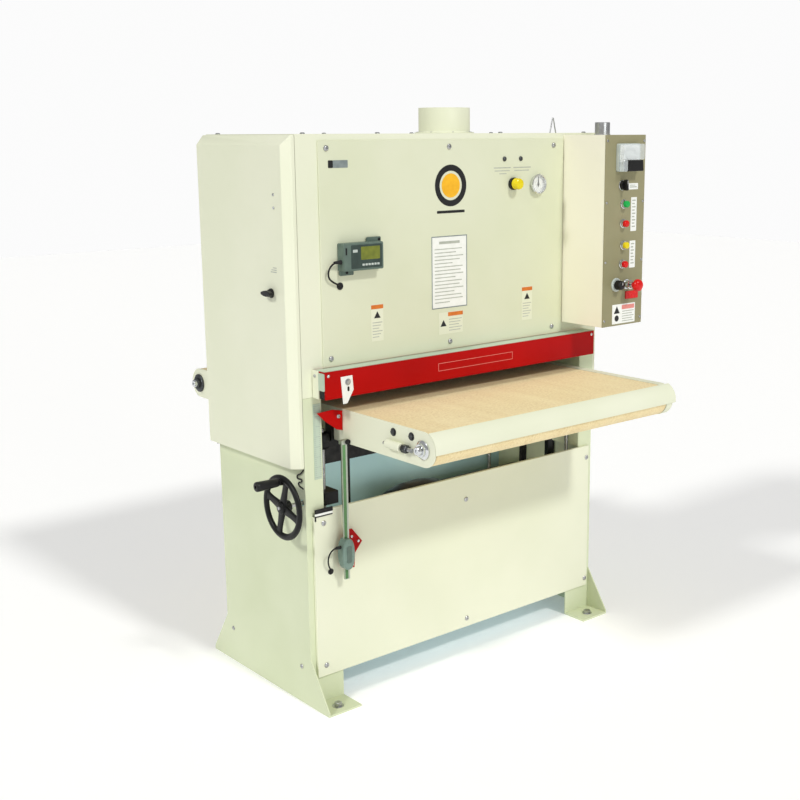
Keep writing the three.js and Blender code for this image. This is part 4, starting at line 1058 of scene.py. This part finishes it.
def make_control_box():
    dressed("control_box", LIT_BOX_CREAM, 0.0009)
    dressed("control_plate", OLIVE, 0.0006)
    make_buttons()
    make_knobs()
    make_ammeter()
    make_control_labels()
    # The conduit stub on the roof of the box.
    box_top = span("control_box")[1].z
    fitting = Shape().turned("z", (1.148, -0.07), [
        (box_top, 0.0), (box_top, 0.0262), (box_top + 0.003, 0.0262), (box_top + 0.0035, 0.0245),
        (box_top + 0.0385, 0.0245), (box_top + 0.04, 0.0232), (box_top + 0.04, 0.0212),
        (box_top + 0.02, 0.021), (box_top + 0.02, 0.0)], 64)
    piece("conduit_fitting", fitting, ZINC, "frame", crease=28)


# ---------------------------------------------------------------- guard and stop bracket


def make_guard():
    low, high = span("guard_bar")
    dressed("guard_bar", RED, 0.0008)
    face = low.y
    # The top strip is cream; its grey-green is painted shade.
    strip = Shape().block(low.x + 0.002, high.x - 0.002, face + 0.004, -0.0095,
                          high.z + 0.0001, high.z + 0.0012)
    piece("guard_top_strip", strip, RULE_GREEN_AND_SHADED_CREAM, "guard_bar", 0.0004)
    outline = border(0.453, 0.761, 0.97, 0.994, 0.0014, face - 0.0004, face - GAP)
    piece("guard_outline", outline, PINK_LABEL, "guard_bar", slot="red_paint")
    screws("guard_end_screws", "y", [(0.05, face, 1.009), (1.126, face, 1.009)], "guard_bar",
           CHROME, 0.0048, 0.003)
    # The stock-thickness stop at the left end, a white plate with a slot and its hex bolt.
    plate = Shape().prism("y", [(0.091, 1.001), (0.131, 1.002), (0.1345, 0.96), (0.112, 0.923),
                                (0.098, 0.922)], face - 0.0032, face - 0.0003)
    piece("stop_plate", plate, WHITE_LABEL, "guard_bar", 0.0008)
    bolts("stop_bolt", "y", [(0.1145, face - 0.0032, 0.985)], "guard_bar", across=0.007, height=0.007)
    # The slot is a black sheet on the plate's face: painted shade in its opening.
    slot = Shape().prism("y", rounded(0.1125, 0.1195, 0.9575, 0.9715, 0.0034),
                         face - 0.0036, face - 0.0031)
    piece("stop_slot_painted_shade", slot, BLACK_LABEL, "guard_bar")
    # The brackets at each end, with the leaf and the pin that the guard swings on.
    brackets = Shape()
    brackets.block(0.0345, 0.0374, -0.03, -0.0005, 0.94, 1.0215)
    brackets.block(1.1405, 1.1434, -0.056, -0.0005, 0.948, 1.0215)
    piece("guard_brackets", brackets, CREAM, "frame", 0.001)
    # The leaf is cream; its grey-green is painted shade.
    leaf = Shape().prism("x", rounded(-0.058, -0.0302, 0.966, 1.0165, 0.003), 0.0345, 0.0374)
    piece("guard_leaf", leaf, RULE_GREEN_AND_SHADED_CREAM, "frame", 0.0006)
    # A black block under the leaf: painted shade in the bracket's dark slot.
    slot_shade_block = Shape().block(0.0352, 0.0374, -0.056, -0.034, 0.943, 0.9655)
    piece("guard_slot_painted_shade", slot_shade_block, BLACK_RUBBER, "frame", 0.0008)
    pins = Shape()
    for x, out in ((0.0345, -1), (1.1434, 1)):
        round_screw(pins, "x", (x, -0.014, 1.006), 0.005, 0.003, out)
    piece("guard_pins", pins, ZINC, "frame")


# ---------------------------------------------------------------- belt door


def make_door():
    dressed("belt_door", CREAM, 0.0022)
    low, high = span("belt_door")
    y, z, face = 0.086, 1.237, low.x
    turned = Shape().turned("x", (y, z), [
        (face + 0.01, 0.0), (face + 0.01, 0.006), (face - 0.0003, 0.006), (face - 0.0003, 0.0135),
        (face - 0.004, 0.0135), (face - 0.0065, 0.0115), (face - 0.0105, 0.0105), (face - 0.0105, 0.0)], 48)
    piece("latch_boss", turned, BLACK_PLASTIC, "door_latch", replaces=["door_latch"])
    wing = Shape().prism("x", [(y - 0.024, z - 0.0035), (y - 0.01, z - 0.0075), (y, z - 0.0085),
                               (y + 0.01, z - 0.0075), (y + 0.024, z - 0.0035), (y + 0.024, z + 0.0035),
                               (y + 0.01, z + 0.0075), (y, z + 0.0085), (y - 0.01, z + 0.0075),
                               (y - 0.024, z + 0.0035)], face - 0.0225, face - 0.01)
    piece("latch_wing", wing, BLACK_PLASTIC, "door_latch", 0.0022)
    tongue = Shape().block(face + 0.007, face + 0.01, y - 0.03, y + 0.008, z - 0.008, z + 0.008)
    piece("latch_tongue", tongue, ZINC, "door_latch", 0.0006)
    screws("door_screws", "x", [(face, 0.06, 1.511), (face, 0.06, 1.475)], "belt_door", radius=0.0042,
           height=0.003)
    lines = Shape()
    for k, length in enumerate((0.03, 0.026, 0.018)):
        z0 = 1.296 + 0.006 * k
        lines.block(face - 0.0004, face - GAP, 0.056, 0.056 + length, z0, z0 + 0.0025)
    piece("door_lines", lines, FAINT_PRINT, "belt_door")
    pin = Shape().turned("x", (0.466, 0.7285), [(-0.014, 0.0), (-0.014, 0.0035), (-0.0003, 0.0035),
                                                (-0.0003, 0.0)], 20)
    piece("door_stop_pin", pin, BLACK_PLASTIC, "frame")
    # Three hinges on the rear edge, whose middle knuckles belong to the door.
    axis_x, axis_y = -0.004, DEPTH + 0.0065
    fixed, moving = Shape(), Shape()
    for z0 in (0.79, 1.17, 1.55):
        for k in range(5):
            knuckle = (z0 + 0.0162 * k + 0.0004, z0 + 0.0162 * (k + 1) - 0.0004)
            profile = [(knuckle[0], 0.0), (knuckle[0], 0.0052), (knuckle[1], 0.0052), (knuckle[1], 0.0)]
            (moving if k % 2 else fixed).turned("z", (axis_x, axis_y), profile, 32)
        # The lowest leaf sits on the base's column, and starts a little higher than its knuckles.
        leaf_foot = z0 if z0 > HEAD_LOW.z else z0 + 0.0004
        fixed.block(axis_x + 0.0035, 0.03, DEPTH + 0.0002, DEPTH + 0.0022, leaf_foot, z0 + 0.081)
        moving.block(-0.03, axis_x - 0.003, high.y + 0.0002, high.y + 0.0021, z0, z0 + 0.081)
    piece("door_hinges_fixed", fixed, CREAM, "frame", 0.0004)
    piece("door_hinges_moving", moving, CREAM, "belt_door", 0.0004)


# ---------------------------------------------------------------- inside the head


def roller(name, node, body, look, axis_place, ends, face_radius, pin_radius, crown=0.0, fluting=0):
    """A smooth turned roller, with pins at both ends of its face."""
    pin0, face0, face1, pin1 = ends
    rings = [(pin0, 0.0), (pin0, pin_radius - 0.001), (pin0 + 0.001, pin_radius), (face0, pin_radius),
             (face0, face_radius - 0.003), (face0 + 0.003, face_radius)]
    for k in range(fluting):
        at = face0 + 0.003 + (face1 - face0 - 0.006) * (k + 0.5) / fluting
        rings += [(at - 0.004, face_radius), (at - 0.003, face_radius - 0.002),
                  (at + 0.003, face_radius - 0.002), (at + 0.004, face_radius)]
    if crown:
        rings.append(((face0 + face1) / 2, face_radius + crown))
    rings += [(face1 - 0.003, face_radius), (face1, face_radius - 0.003), (face1, pin_radius),
              (pin1 - 0.001, pin_radius), (pin1, pin_radius - 0.001), (pin1, 0.0)]
    return piece(name, Shape().turned("x", axis_place, rings, 64), look, body, replaces=[node])


def pulley(name, node, body, radius, bore, rim):
    """A wheel with three belt grooves between the two ends of its rim."""
    low, high = span(node)
    start, end = rim
    centre = (middle(node).y, middle(node).z)
    pitch = (end - start) / 3
    rings = [(start, bore), (start, radius)]
    for k in range(3):
        left, right = start + pitch * k, start + pitch * (k + 1)
        rings += [(left + 0.002, radius), (left + 0.0045, radius - 0.008),
                  (right - 0.0045, radius - 0.008), (right - 0.002, radius)]
    rings += [(end, radius), (end, bore)]
    if low.x < start:
        rings = [(low.x, 0.0), (low.x, bore), *rings, (high.x, bore), (high.x, 0.0)]
    return piece(name, Shape().turned("x", centre, rings, 64), CAST, body, replaces=[node], crease=25)


def make_head_inside():
    dressed("head_beam", BLACK_PAINT, 0.0015)
    dressed("drum_bearing_left", CAST, 0.0015)
    dressed("tension_yoke", CAST, 0.0015)
    dressed("tension_cylinder", TURNED_Z, 0.0008)
    for side in ("front", "rear"):
        dressed(side + "_pressure_bar", ZINC, 0.001)
        centre = middle(side + "_pinch_roller")
        roller(side + "_pinch_rubber", side + "_pinch_roller", side + "_pinch_roller", BLACK_RUBBER,
               (centre.y, centre.z), (0.101, 0.112, 1.092, 1.103), 0.025, 0.008)
    drum = middle("contact_drum")
    roller("drum_roller", "contact_drum", "drum", DRUM_RUBBER, (drum.y, drum.z),
           (0.092, 0.13, 1.074, 1.188), 0.069, 0.0175, fluting=30)
    tension = middle("tension_roller")
    roller("upper_roller", "tension_roller", "tension_roller", TURNED_X,
           (tension.y, tension.z), (0.101, 0.13, 1.074, 1.103), 0.0545, 0.0125, crown=0.0005)
    low, high = span("drum_pulley")
    pulley("drum_pulley_wheel", "drum_pulley", "drum", 0.055, 0.0179, (low.x, high.x))
    shaft_end = span("motor_pulley")[1].x
    pulley("motor_pulley_wheel", "motor_pulley", "motor_rotor", 0.07, 0.019,
           (shaft_end - 0.04, shaft_end - 0.004))

    low, high = span("abrasive_belt")
    outer = loop((drum.y, drum.z, 0.0713), (tension.y, tension.z, 0.0573), 40)
    inner = loop((drum.y, drum.z, 0.0698), (tension.y, tension.z, 0.0558), 40)
    belt = Shape().band("x", outer, inner, low.x, high.x)
    piece("sanding_belt", belt, ABRASIVE, "frame", replaces=["abrasive_belt"])
    motor = middle("motor_pulley")
    belts = Shape()
    for k in range(3):
        x = 1.151 + 0.0107 * k
        belts.band("x", loop((drum.y, motor.z, 0.079), (drum.y, drum.z, 0.064), 32),
                   loop((drum.y, motor.z, 0.071), (drum.y, drum.z, 0.056), 32), x, x + 0.0088)
    piece("v_belts", belts, BLACK_RUBBER, "frame", 0.0012, replaces=["drive_belts"])


def make_motor():
    y, z = middle("motor_pulley").y, middle("motor_pulley").z
    fins = toothed((y, z), 44, ((0.0, 0.103), (0.28, 0.103), (0.36, 0.11), (0.92, 0.11)))
    body = Shape().prism("x", fins, 0.702, 1.062)
    piece("motor_body", body, BLACK_PAINT, "frame", replaces=["main_motor"])
    ends = Shape()
    ends.turned("x", (y, z), [(0.4905, 0.0), (0.49, 0.06), (0.493, 0.088), (0.512, 0.115), (0.56, 0.129),
                              (0.64, 0.1325), (0.694, 0.1225), (0.7, 0.118), (0.7, 0.0)], 72)
    ends.turned("x", (y, z), [(1.063, 0.021), (1.063, 0.11), (1.082, 0.11), (1.086, 0.106),
                              (1.095, 0.07), (1.095, 0.021)], 72)
    piece("motor_ends", ends, BLACK_PAINT, "frame")
    low = span("main_motor")[0]
    feet = Shape()
    for x in (0.856, 0.994):
        feet.block(x, x + 0.04, y - 0.085, y + 0.085, low.z, low.z + 0.016)
        feet.block(x + 0.006, x + 0.034, y - 0.06, y + 0.06, low.z + 0.01, low.z + 0.05)
    piece("motor_feet", feet, BLACK_PAINT, "frame", 0.0015)
    terminals = Shape().block(0.88, 0.98, y + 0.1, y + 0.15, z - 0.045, z + 0.045)
    piece("motor_terminal_box", terminals, BLACK_PAINT, "frame", 0.004)
    rings = Shape()
    for k in range(6):
        radius = 0.022 + 0.013 * k
        rings.turned("x", (y, z), [(0.4885, radius), (0.4885, radius + 0.004), (0.4905, radius + 0.004),
                                   (0.4905, radius)], 48)
    piece("motor_fan_grille", rings, ZINC, "frame")
    places = [(x, y + s * 0.073, low.z + 0.016) for x in (0.876, 1.014) for s in (-1, 1)]
    bolts("motor_bolts", "z", places, "frame", across=0.008, out=1)


# ---------------------------------------------------------------- feed table

PLATE_START, PLATE_END = span("table_left_plate")
TABLE_LEFT = PLATE_START.x
TABLE_RIGHT = span("table_right_plate")[1].x
TABLE_MIDDLE = middle("table_left_plate").z
NOSE = (PLATE_END.z - PLATE_START.z) / 2
FRONT_ROLLER_Y = PLATE_START.y + NOSE
REAR_ROLLER_Y = PLATE_END.y - NOSE
FEED_BELT_THICK = 0.0028


def around_table(radius, steps=36):
    return loop((FRONT_ROLLER_Y, TABLE_MIDDLE, radius), (REAR_ROLLER_Y, TABLE_MIDDLE, radius), steps)


def make_table_sides():
    left = Shape().prism("x", around_table(NOSE), TABLE_LEFT, TABLE_LEFT + 0.004)
    piece("left_table_side", left, CREAM, "table", 0.0009, replaces=["table_left_plate"])
    right = Shape().prism("x", around_table(NOSE), TABLE_RIGHT - 0.028, TABLE_RIGHT - 0.024)
    right.band("x", around_table(NOSE), around_table(NOSE - 0.004), TABLE_RIGHT - 0.0242, TABLE_RIGHT)
    piece("right_table_side", right, CREAM, "table", 0.0009, replaces=["table_right_plate"])
    # The bar round the front roller, from the table top down to mid height.
    outer, inner = NOSE + 0.0045, NOSE + 0.0008
    low, high = span("front_bar")
    top = math.pi - math.asin(min(1.0, NOSE / outer))
    bottom = math.pi + 0.14
    outline = (arc(FRONT_ROLLER_Y, TABLE_MIDDLE, outer, top, bottom, 28)
               + arc(FRONT_ROLLER_Y, TABLE_MIDDLE, inner, bottom, top + 0.05, 28))
    piece("front_edge_bar", Shape().prism("x", outline, low.x, high.x), CREAM, "table",
          0.0008, replaces=["front_bar"])
    outline = arc(FRONT_ROLLER_Y, TABLE_MIDDLE, outer - 0.0002, top + 0.02, bottom - 0.02, 24)
    outline += [(FRONT_ROLLER_Y - 0.012, TABLE_MIDDLE - 0.004),
                (FRONT_ROLLER_Y - 0.01, TABLE_MIDDLE + 0.046)]
    caps = Shape().prism("x", outline, high.x - 0.0036, high.x - 0.0004)
    piece("front_bar_cap", caps, CREAM, "table", 0.0008)


def make_table():
    make_table_sides()
    dressed("table_bed", MILLED, 0.0008)
    dressed("table_subframe", BLACK_PAINT, 0.001)
    low, high = span("conveyor_belt")
    outer = (high.z - low.z) / 2
    belt = Shape().band("x", around_table(outer, 48), around_table(outer - FEED_BELT_THICK, 48),
                        low.x, high.x)
    piece("feed_belt", belt, FEED_BELT, "table", replaces=["conveyor_belt"])
    for name, y, right, hub_look, radii in (
            ("front", FRONT_ROLLER_Y, 1.098, CHROME, (0.026, 0.0265, 0.024)),
            ("rear", REAR_ROLLER_Y, 1.14, DARK_STEEL, (0.03, 0.0305, 0.028))):
        roller(name + "_drive_roller", name + "_roller", name + "_roller", TURNED_X,
               (y, TABLE_MIDDLE), (0.106, low.x + 0.001, high.x - 0.001, right), 0.045, 0.012)
        hub = Shape().turned("x", (y, TABLE_MIDDLE), [
            (0.1255, 0.0125), (0.1255, radii[0]), (0.1215, radii[1]), (0.1195, radii[2]),
            (0.118, 0.019), (0.112, 0.0185), (0.111, 0.017), (0.111, 0.0125)], 56)
        piece(name + "_bearing_hub", hub, hub_look, "table", crease=25)
        end = Shape().turned("x", (y, TABLE_MIDDLE), [
            (0.1105, 0.0), (0.1105, 0.0128), (0.102, 0.0118), (0.1005, 0.01), (0.1005, 0.0045),
            (0.104, 0.004), (0.104, 0.0)], 40)
        piece(name + "_shaft_cap", end, CHROME, name + "_roller", crease=25)

    side = TABLE_LEFT
    bolts("table_side_bolts", "x", [(side, -0.254, 0.872), (side, -0.333, 0.874)], "table",
          DARK_STEEL, 0.0085, 0.006)
    # The take-up of the front roller: a sleeve, its screw and a large nut against the bearing.
    line = (side - 0.0125, 0.839)
    sleeve = Shape().turned("y", line, [(-0.302, 0.0), (-0.302, 0.0105), (-0.3, 0.0118), (-0.24, 0.0118),
                                        (-0.238, 0.0105), (-0.238, 0.0)], 40)
    piece("takeup_sleeve", sleeve, CREAM, "table")
    rod = Shape().turned("y", line, [(-0.35, 0.0), (-0.35, 0.0062), (-0.3025, 0.0062),
                                     (-0.3025, 0.0)], 28)
    rod.turned("y", line, [(-0.2375, 0.0), (-0.2375, 0.005), (-0.226, 0.005), (-0.2252, 0.0042),
                           (-0.2252, 0.0)], 24)
    piece("takeup_screw", rod, ZINC, "table")
    rings = ((-0.3085, 0.0105), (-0.311, 0.0122), (-0.329, 0.0122), (-0.3315, 0.0105))
    nut = Shape().rings([[point("y", a, *p) for p in circle(*line, r, 6)] for a, r in rings])
    piece("takeup_nut", nut, DARK_STEEL, "table", 0.0005)

    # A black sheet below the left half of the table, which closes the view through the base: painted shade
    # in the gap under the table.
    skirt = Shape().block(0.126, 0.64, 0.417, 0.42, 0.6, 0.7755)
    piece("shade_skirt", skirt, BLACK_RUBBER, "table", 0.0008)
    nuts = Shape()
    for corner in ("front_left", "front_right", "rear_left", "rear_right"):
        screw = middle("lift_screw_" + corner)
        nuts.turned("z", (screw.x, screw.y), [(0.7755, 0.0078), (0.7755, 0.02), (0.774, 0.02),
                                              (0.7735, 0.0195), (0.7735, 0.0078)], 48)
        nuts.turned("z", (screw.x, screw.y), [(0.7955, 0.0078), (0.7955, 0.023), (0.812, 0.0215),
                                              (0.82, 0.017), (0.823, 0.011), (0.823, 0.0078)], 48)
    piece("lift_nuts", nuts, BLACK_PAINT, "table", slot="cast")

    gear_low = span("feed_motor")[0]
    x, y = 1.153, middle("feed_motor").y
    reducer = Shape().prism("y", rounded(gear_low.x, 1.1675, 0.7985, 0.8915, 0.01), y - 0.045, y + 0.045)
    piece("feed_reducer", reducer, BLACK_PAINT, "table", 0.004, replaces=["feed_motor"])
    fins = toothed((x, y), 28, ((0.0, 0.0435), (0.3, 0.0435), (0.4, 0.0478), (0.9, 0.0478)))
    drive = Shape().prism("z", fins, 0.655, 0.77)
    drive.turned("z", (x, y), [(0.7705, 0.0), (0.7705, 0.048), (0.792, 0.048), (0.798, 0.044),
                               (0.798, 0.0)], 48)
    drive.turned("z", (x, y), [(gear_low.z, 0.0), (gear_low.z, 0.036), (0.618, 0.046), (0.654, 0.048),
                               (0.654, 0.0)], 48)
    piece("feed_motor_body", drive, BLACK_PAINT, "table")
    bolts("reducer_bolts", "x", [(1.1675, y + dy, TABLE_MIDDLE + dz) for dy in (-0.033, 0.033)
                                 for dz in (-0.034, 0.034)], "table", across=0.006, height=0.005, out=1)


def make_scales():
    dressed("depth_pointer", RED, 0.0006)
    screws("pointer_screw", "y", [(0.111, -0.015, 0.877)], "table", radius=0.0062, height=0.0038)
    # The steel rule on the left column, with its divisions.
    ruler = Shape().block(0.033, 0.058, -0.0014, -0.0002, 0.698, 0.921)
    piece("column_rule", ruler, RULE_GREEN_AND_SHADED_CREAM, "frame", 0.0003, slot="steel")
    marks = Shape()
    for k in range(36):
        z = 0.704 + 0.006 * k
        length = 0.012 if k % 5 == 0 else 0.006
        marks.block(0.0345, 0.0345 + length, -0.0017, -0.0014, z, z + 0.0007)
        marks.block(0.0565 - length * 0.7, 0.0565, -0.0017, -0.0014, z, z + 0.0007)
    piece("column_rule_marks", marks, GREY_LABEL, "frame")
    dressed("scale_bar", RULE_STEEL, 0.0008)
    bar_low, bar_high = span("scale_bar")
    strip = Shape().block(bar_low.x + 0.002, bar_low.x + 0.0125, bar_low.y - 0.0006, bar_low.y - 0.0001,
                          bar_low.z + 0.002, bar_high.z - 0.013)
    piece("scale_strip", strip, GREEN_SCALE, "table", 0.0002)
    bolt = Shape().turned("y", (0.118, 0.806), [(-0.052, 0.0), (-0.052, 0.0075), (-0.0475, 0.0082),
                                                (-0.0475, 0.0)], 32)
    piece("scale_bar_bolt", bolt, BLACK_PLASTIC, "table")

    # The reading head that the scale slides through, on its red bracket.
    bracket = Shape().prism("y", [(0.112, 0.418), (0.146, 0.414), (0.149, 0.458), (0.176, 0.49),
                                  (0.14, 0.535), (0.126, 0.535), (0.112, 0.5)], -0.03, -0.026)
    bracket.block(0.134, 0.146, -0.0262, PANEL_FACE - 0.0002, 0.44, 0.52)
    piece("reader_bracket", bracket, RED, "frame", 0.0008, replaces=["scale_reader"])
    middle_x, middle_z = 0.1055, 0.471
    turns = [2 * math.pi * k / 64 for k in range(64)]
    oval = [(middle_x + 0.0215 * math.copysign(abs(math.cos(t)) ** 0.8, math.cos(t)),
             middle_z + 0.0475 * math.copysign(abs(math.sin(t)) ** 0.9, math.sin(t))) for t in turns]
    case = Shape().prism("y", oval, -0.062, -0.0305)
    piece("reader_case", case, READER_GREY, "frame", 0.0045)
    panel = rounded(middle_x - 0.009, middle_x + 0.009, middle_z - 0.026, middle_z + 0.026, 0.006)
    rib = Shape().prism("y", panel, -0.0632, -0.0618)
    piece("reader_panel", rib, READOUT_PLASTIC, "frame", 0.0005)
    reader_screws = [(x, -0.03, z) for x, z in ((0.137, 0.512), (0.161, 0.493), (0.138, 0.424))]
    screws("reader_screws", "y", reader_screws, "frame", CHROME, 0.0045, 0.003)
    boot = Shape().turned("x", (-0.046, 0.494), [(0.088, 0.0), (0.088, 0.005), (0.074, 0.0046),
                                                 (0.066, 0.003), (0.0655, 0.0)], 28)
    piece("reader_boot", boot, BLACK_RUBBER, "frame", slot="black_plastic")
    grommet = Shape().turned("y", (0.0732, 0.413), outwards(PANEL_FACE, [
        (0.0, 0.0), (0.0, 0.009), (0.002, 0.0092), (0.0036, 0.0075), (0.004, 0.004),
        (0.003, 0.0)]), 36)
    piece("scale_grommet", grommet, BLACK_RUBBER, "frame")


# ---------------------------------------------------------------- table lift

CHAIN_PITCH = 0.0127
SPOKE_TURN = 106


THREAD_SIDES = 18
THREAD_STEPS = 6  # rings in one turn of a thread


def threaded(shape, x, y, z0, z1, radius, pitch, depth):
    """Adds a rod with a helical thread between z0 and z1."""
    rings = []
    for level in range(int((z1 - z0) / pitch * THREAD_STEPS) + 1):
        z = z0 + pitch * level / THREAD_STEPS
        ring = []
        for k in range(THREAD_SIDES):
            phase = (level / THREAD_STEPS - k / THREAD_SIDES) % 1.0
            tooth = 1.0 - abs(2.0 * phase - 1.0)
            reach = radius - depth * (1.0 - tooth)
            turn = 2 * math.pi * k / THREAD_SIDES
            ring.append(Vector((x + reach * math.cos(turn), y + reach * math.sin(turn), z)))
        rings.append(ring)
    shape.rings(rings)


def make_lift():
    for corner in ("front_left", "front_right", "rear_left", "rear_right"):
        node = "lift_screw_" + corner
        foot = span(node)[0].z
        x, y = middle(node).x, middle(node).y
        rod = Shape().turned("z", (x, y), [(foot, 0.0), (foot, 0.007), (0.118, 0.007), (0.128, 0.007),
                                           (0.455, 0.007), (0.457, 0.0055), (0.457, 0.0)], 32)
        threaded(rod, x, y, 0.4575, 0.832, 0.007, 0.005, 0.0012)
        piece(node + "_rod", rod, TURNED_Z, node, replaces=[node], crease=60)
        teeth = toothed((x, y), 10, ((0.0, 0.0165), (0.3, 0.0172), (0.42, 0.02), (0.58, 0.02),
                                     (0.7, 0.0172)))
        sprocket = Shape().prism("z", teeth, 0.1205, 0.1255)
        sprocket.turned("z", (x, y), [(0.1256, 0.0072), (0.1256, 0.0125), (0.138, 0.0125),
                                      (0.138, 0.0072)], 32)
        piece("sprocket_" + corner, sprocket, DARK_STEEL, node, 0.0005, slot="cast")
    dressed("lift_gearbox", BLACK_PAINT, 0.003)
    make_chain()
    make_handwheel()


def make_chain():
    """The roller chain round the four sprockets."""
    x0, x1 = middle("lift_screw_front_left").x, middle("lift_screw_front_right").x
    y0, y1 = middle("lift_screw_front_left").y, middle("lift_screw_rear_left").y
    radius, z = 0.0205, 0.123
    quarter = math.pi / 2
    corners = [(x1, y1, 0), (x0, y1, 1), (x0, y0, 2), (x1, y0, 3)]
    path = [p for x, y, k in corners for p in arc(x, y, radius, k * quarter, (k + 1) * quarter, 12)]
    path.append(path[0])
    lengths = [math.dist(a, b) for a, b in zip(path, path[1:])]
    total = sum(lengths)
    links = round(total / CHAIN_PITCH / 2) * 2
    places, along, index = [], 0.0, 0
    for k in range(links):
        want = total * k / links
        while along + lengths[index] < want:
            along += lengths[index]
            index += 1
        share = (want - along) / lengths[index]
        (ax, ay), (bx, by) = path[index], path[index + 1]
        places.append((ax + (bx - ax) * share, ay + (by - ay) * share))
    plates, rollers = Shape(), Shape()
    for k, (start, end) in enumerate(zip(places, places[1:] + places[:1])):
        rollers.prism("z", circle(*start, 0.0032, 10), z - 0.0022, z + 0.0022)
        lie = math.atan2(end[1] - start[1], end[0] - start[0])
        outline = (arc(*start, 0.0042, lie + quarter, lie + 3 * quarter, 4)
                   + arc(*end, 0.0042, lie - quarter, lie + quarter, 4))
        gap = 0.0024 if k % 2 else 0.0034
        for level in (z - gap - 0.0009, z + gap):
            plates.prism("z", outline, level, level + 0.0009)
    piece("lift_chain_plates", plates, DARK_STEEL, "frame", slot="cast")
    piece("lift_chain_rollers", rollers, ZINC, "frame")


def make_handwheel():
    hub_y, hub_z = 0.02, 0.631
    rim_radius, rim_x = 0.086, -0.065
    rim = Shape().turned("x", (hub_y, hub_z), [
        (rim_x + 0.0076 * math.cos(t), rim_radius + 0.01 * math.sin(t))
        for t in (2 * math.pi * k / 20 for k in range(20))], 96)
    rim.turned("x", (hub_y, hub_z), [
        (-0.076, 0.0), (-0.076, 0.015), (-0.0745, 0.0175), (-0.072, 0.019), (-0.056, 0.0205),
        (-0.048, 0.0195), (-0.044, 0.0175), (-0.044, 0.0)], 56)
    piece("handwheel_rim", rim, BLACK_PAINT, "handwheel", replaces=["handwheel"], crease=45)
    spokes = Shape()
    for k in range(4):
        turn = math.radians(SPOKE_TURN + 90 * k)
        c, s = math.cos(turn), math.sin(turn)
        rings = []
        for r, half, thick in ((0.012, 0.015, 0.0056), (0.03, 0.0128, 0.005), (0.05, 0.0112, 0.0045),
                               (0.068, 0.0112, 0.0043), (0.083, 0.015, 0.005)):
            ring = []
            for t in (2 * math.pi * i / 16 for i in range(16)):
                w = half * math.copysign(abs(math.cos(t)) ** 0.6, math.cos(t))
                x = rim_x + thick * math.copysign(abs(math.sin(t)) ** 0.6, math.sin(t))
                ring.append(Vector((x, hub_y + r * c - w * s, hub_z + r * s + w * c)))
            rings.append(ring)
        spokes.rings(rings)
    piece("handwheel_spokes", spokes, BLACK_PAINT, "handwheel", crease=50)
    shaft = Shape().turned("x", (hub_y, hub_z), [(-0.046, 0.0), (-0.046, 0.006), (0.107, 0.006),
                                                 (0.108, 0.005), (0.108, 0.0)], 32)
    shaft.turned("x", (hub_y, hub_z), [(-0.0795, 0.0), (-0.0795, 0.005), (-0.076, 0.0052),
                                       (-0.076, 0.0)], 24)
    piece("handwheel_shaft", shaft, ZINC, "handwheel")
    boss_y, boss_z = hub_y, hub_z + 0.077
    boss = Shape().turned("x", (boss_y, boss_z), [(-0.076, 0.0), (-0.076, 0.0088), (-0.0745, 0.01),
                                                  (-0.06, 0.0112), (-0.057, 0.009), (-0.057, 0.0)], 40)
    piece("crank_boss", boss, BLACK_PAINT, "handwheel")
    pin = Shape().turned("x", (boss_y, boss_z), [(-0.146, 0.0), (-0.146, 0.004), (-0.0755, 0.004),
                                                 (-0.0755, 0.0)], 24)
    piece("crank_pin", pin, ZINC, "handwheel")
    tip = span("handwheel_handle")[0].x
    grip = Shape().turned("x", (boss_y, boss_z), [
        (-0.077, 0.0046), (-0.077, 0.0098), (-0.079, 0.0115), (-0.084, 0.0124), (-0.1, 0.013),
        (-0.125, 0.0138), (tip + 0.008, 0.0145), (tip + 0.003, 0.014), (tip + 0.001, 0.0125),
        (tip, 0.01), (tip, 0.0046)], 56)
    piece("handle_grip", grip, BLACK_PLASTIC, "handwheel_handle",
          replaces=["handwheel_handle"], crease=50)


make_base()
make_head()
make_cover_labels()
make_air_controls()
make_readout()
make_control_box()
make_guard()
make_door()
make_head_inside()
make_motor()
make_table()
make_scales()
make_lift()
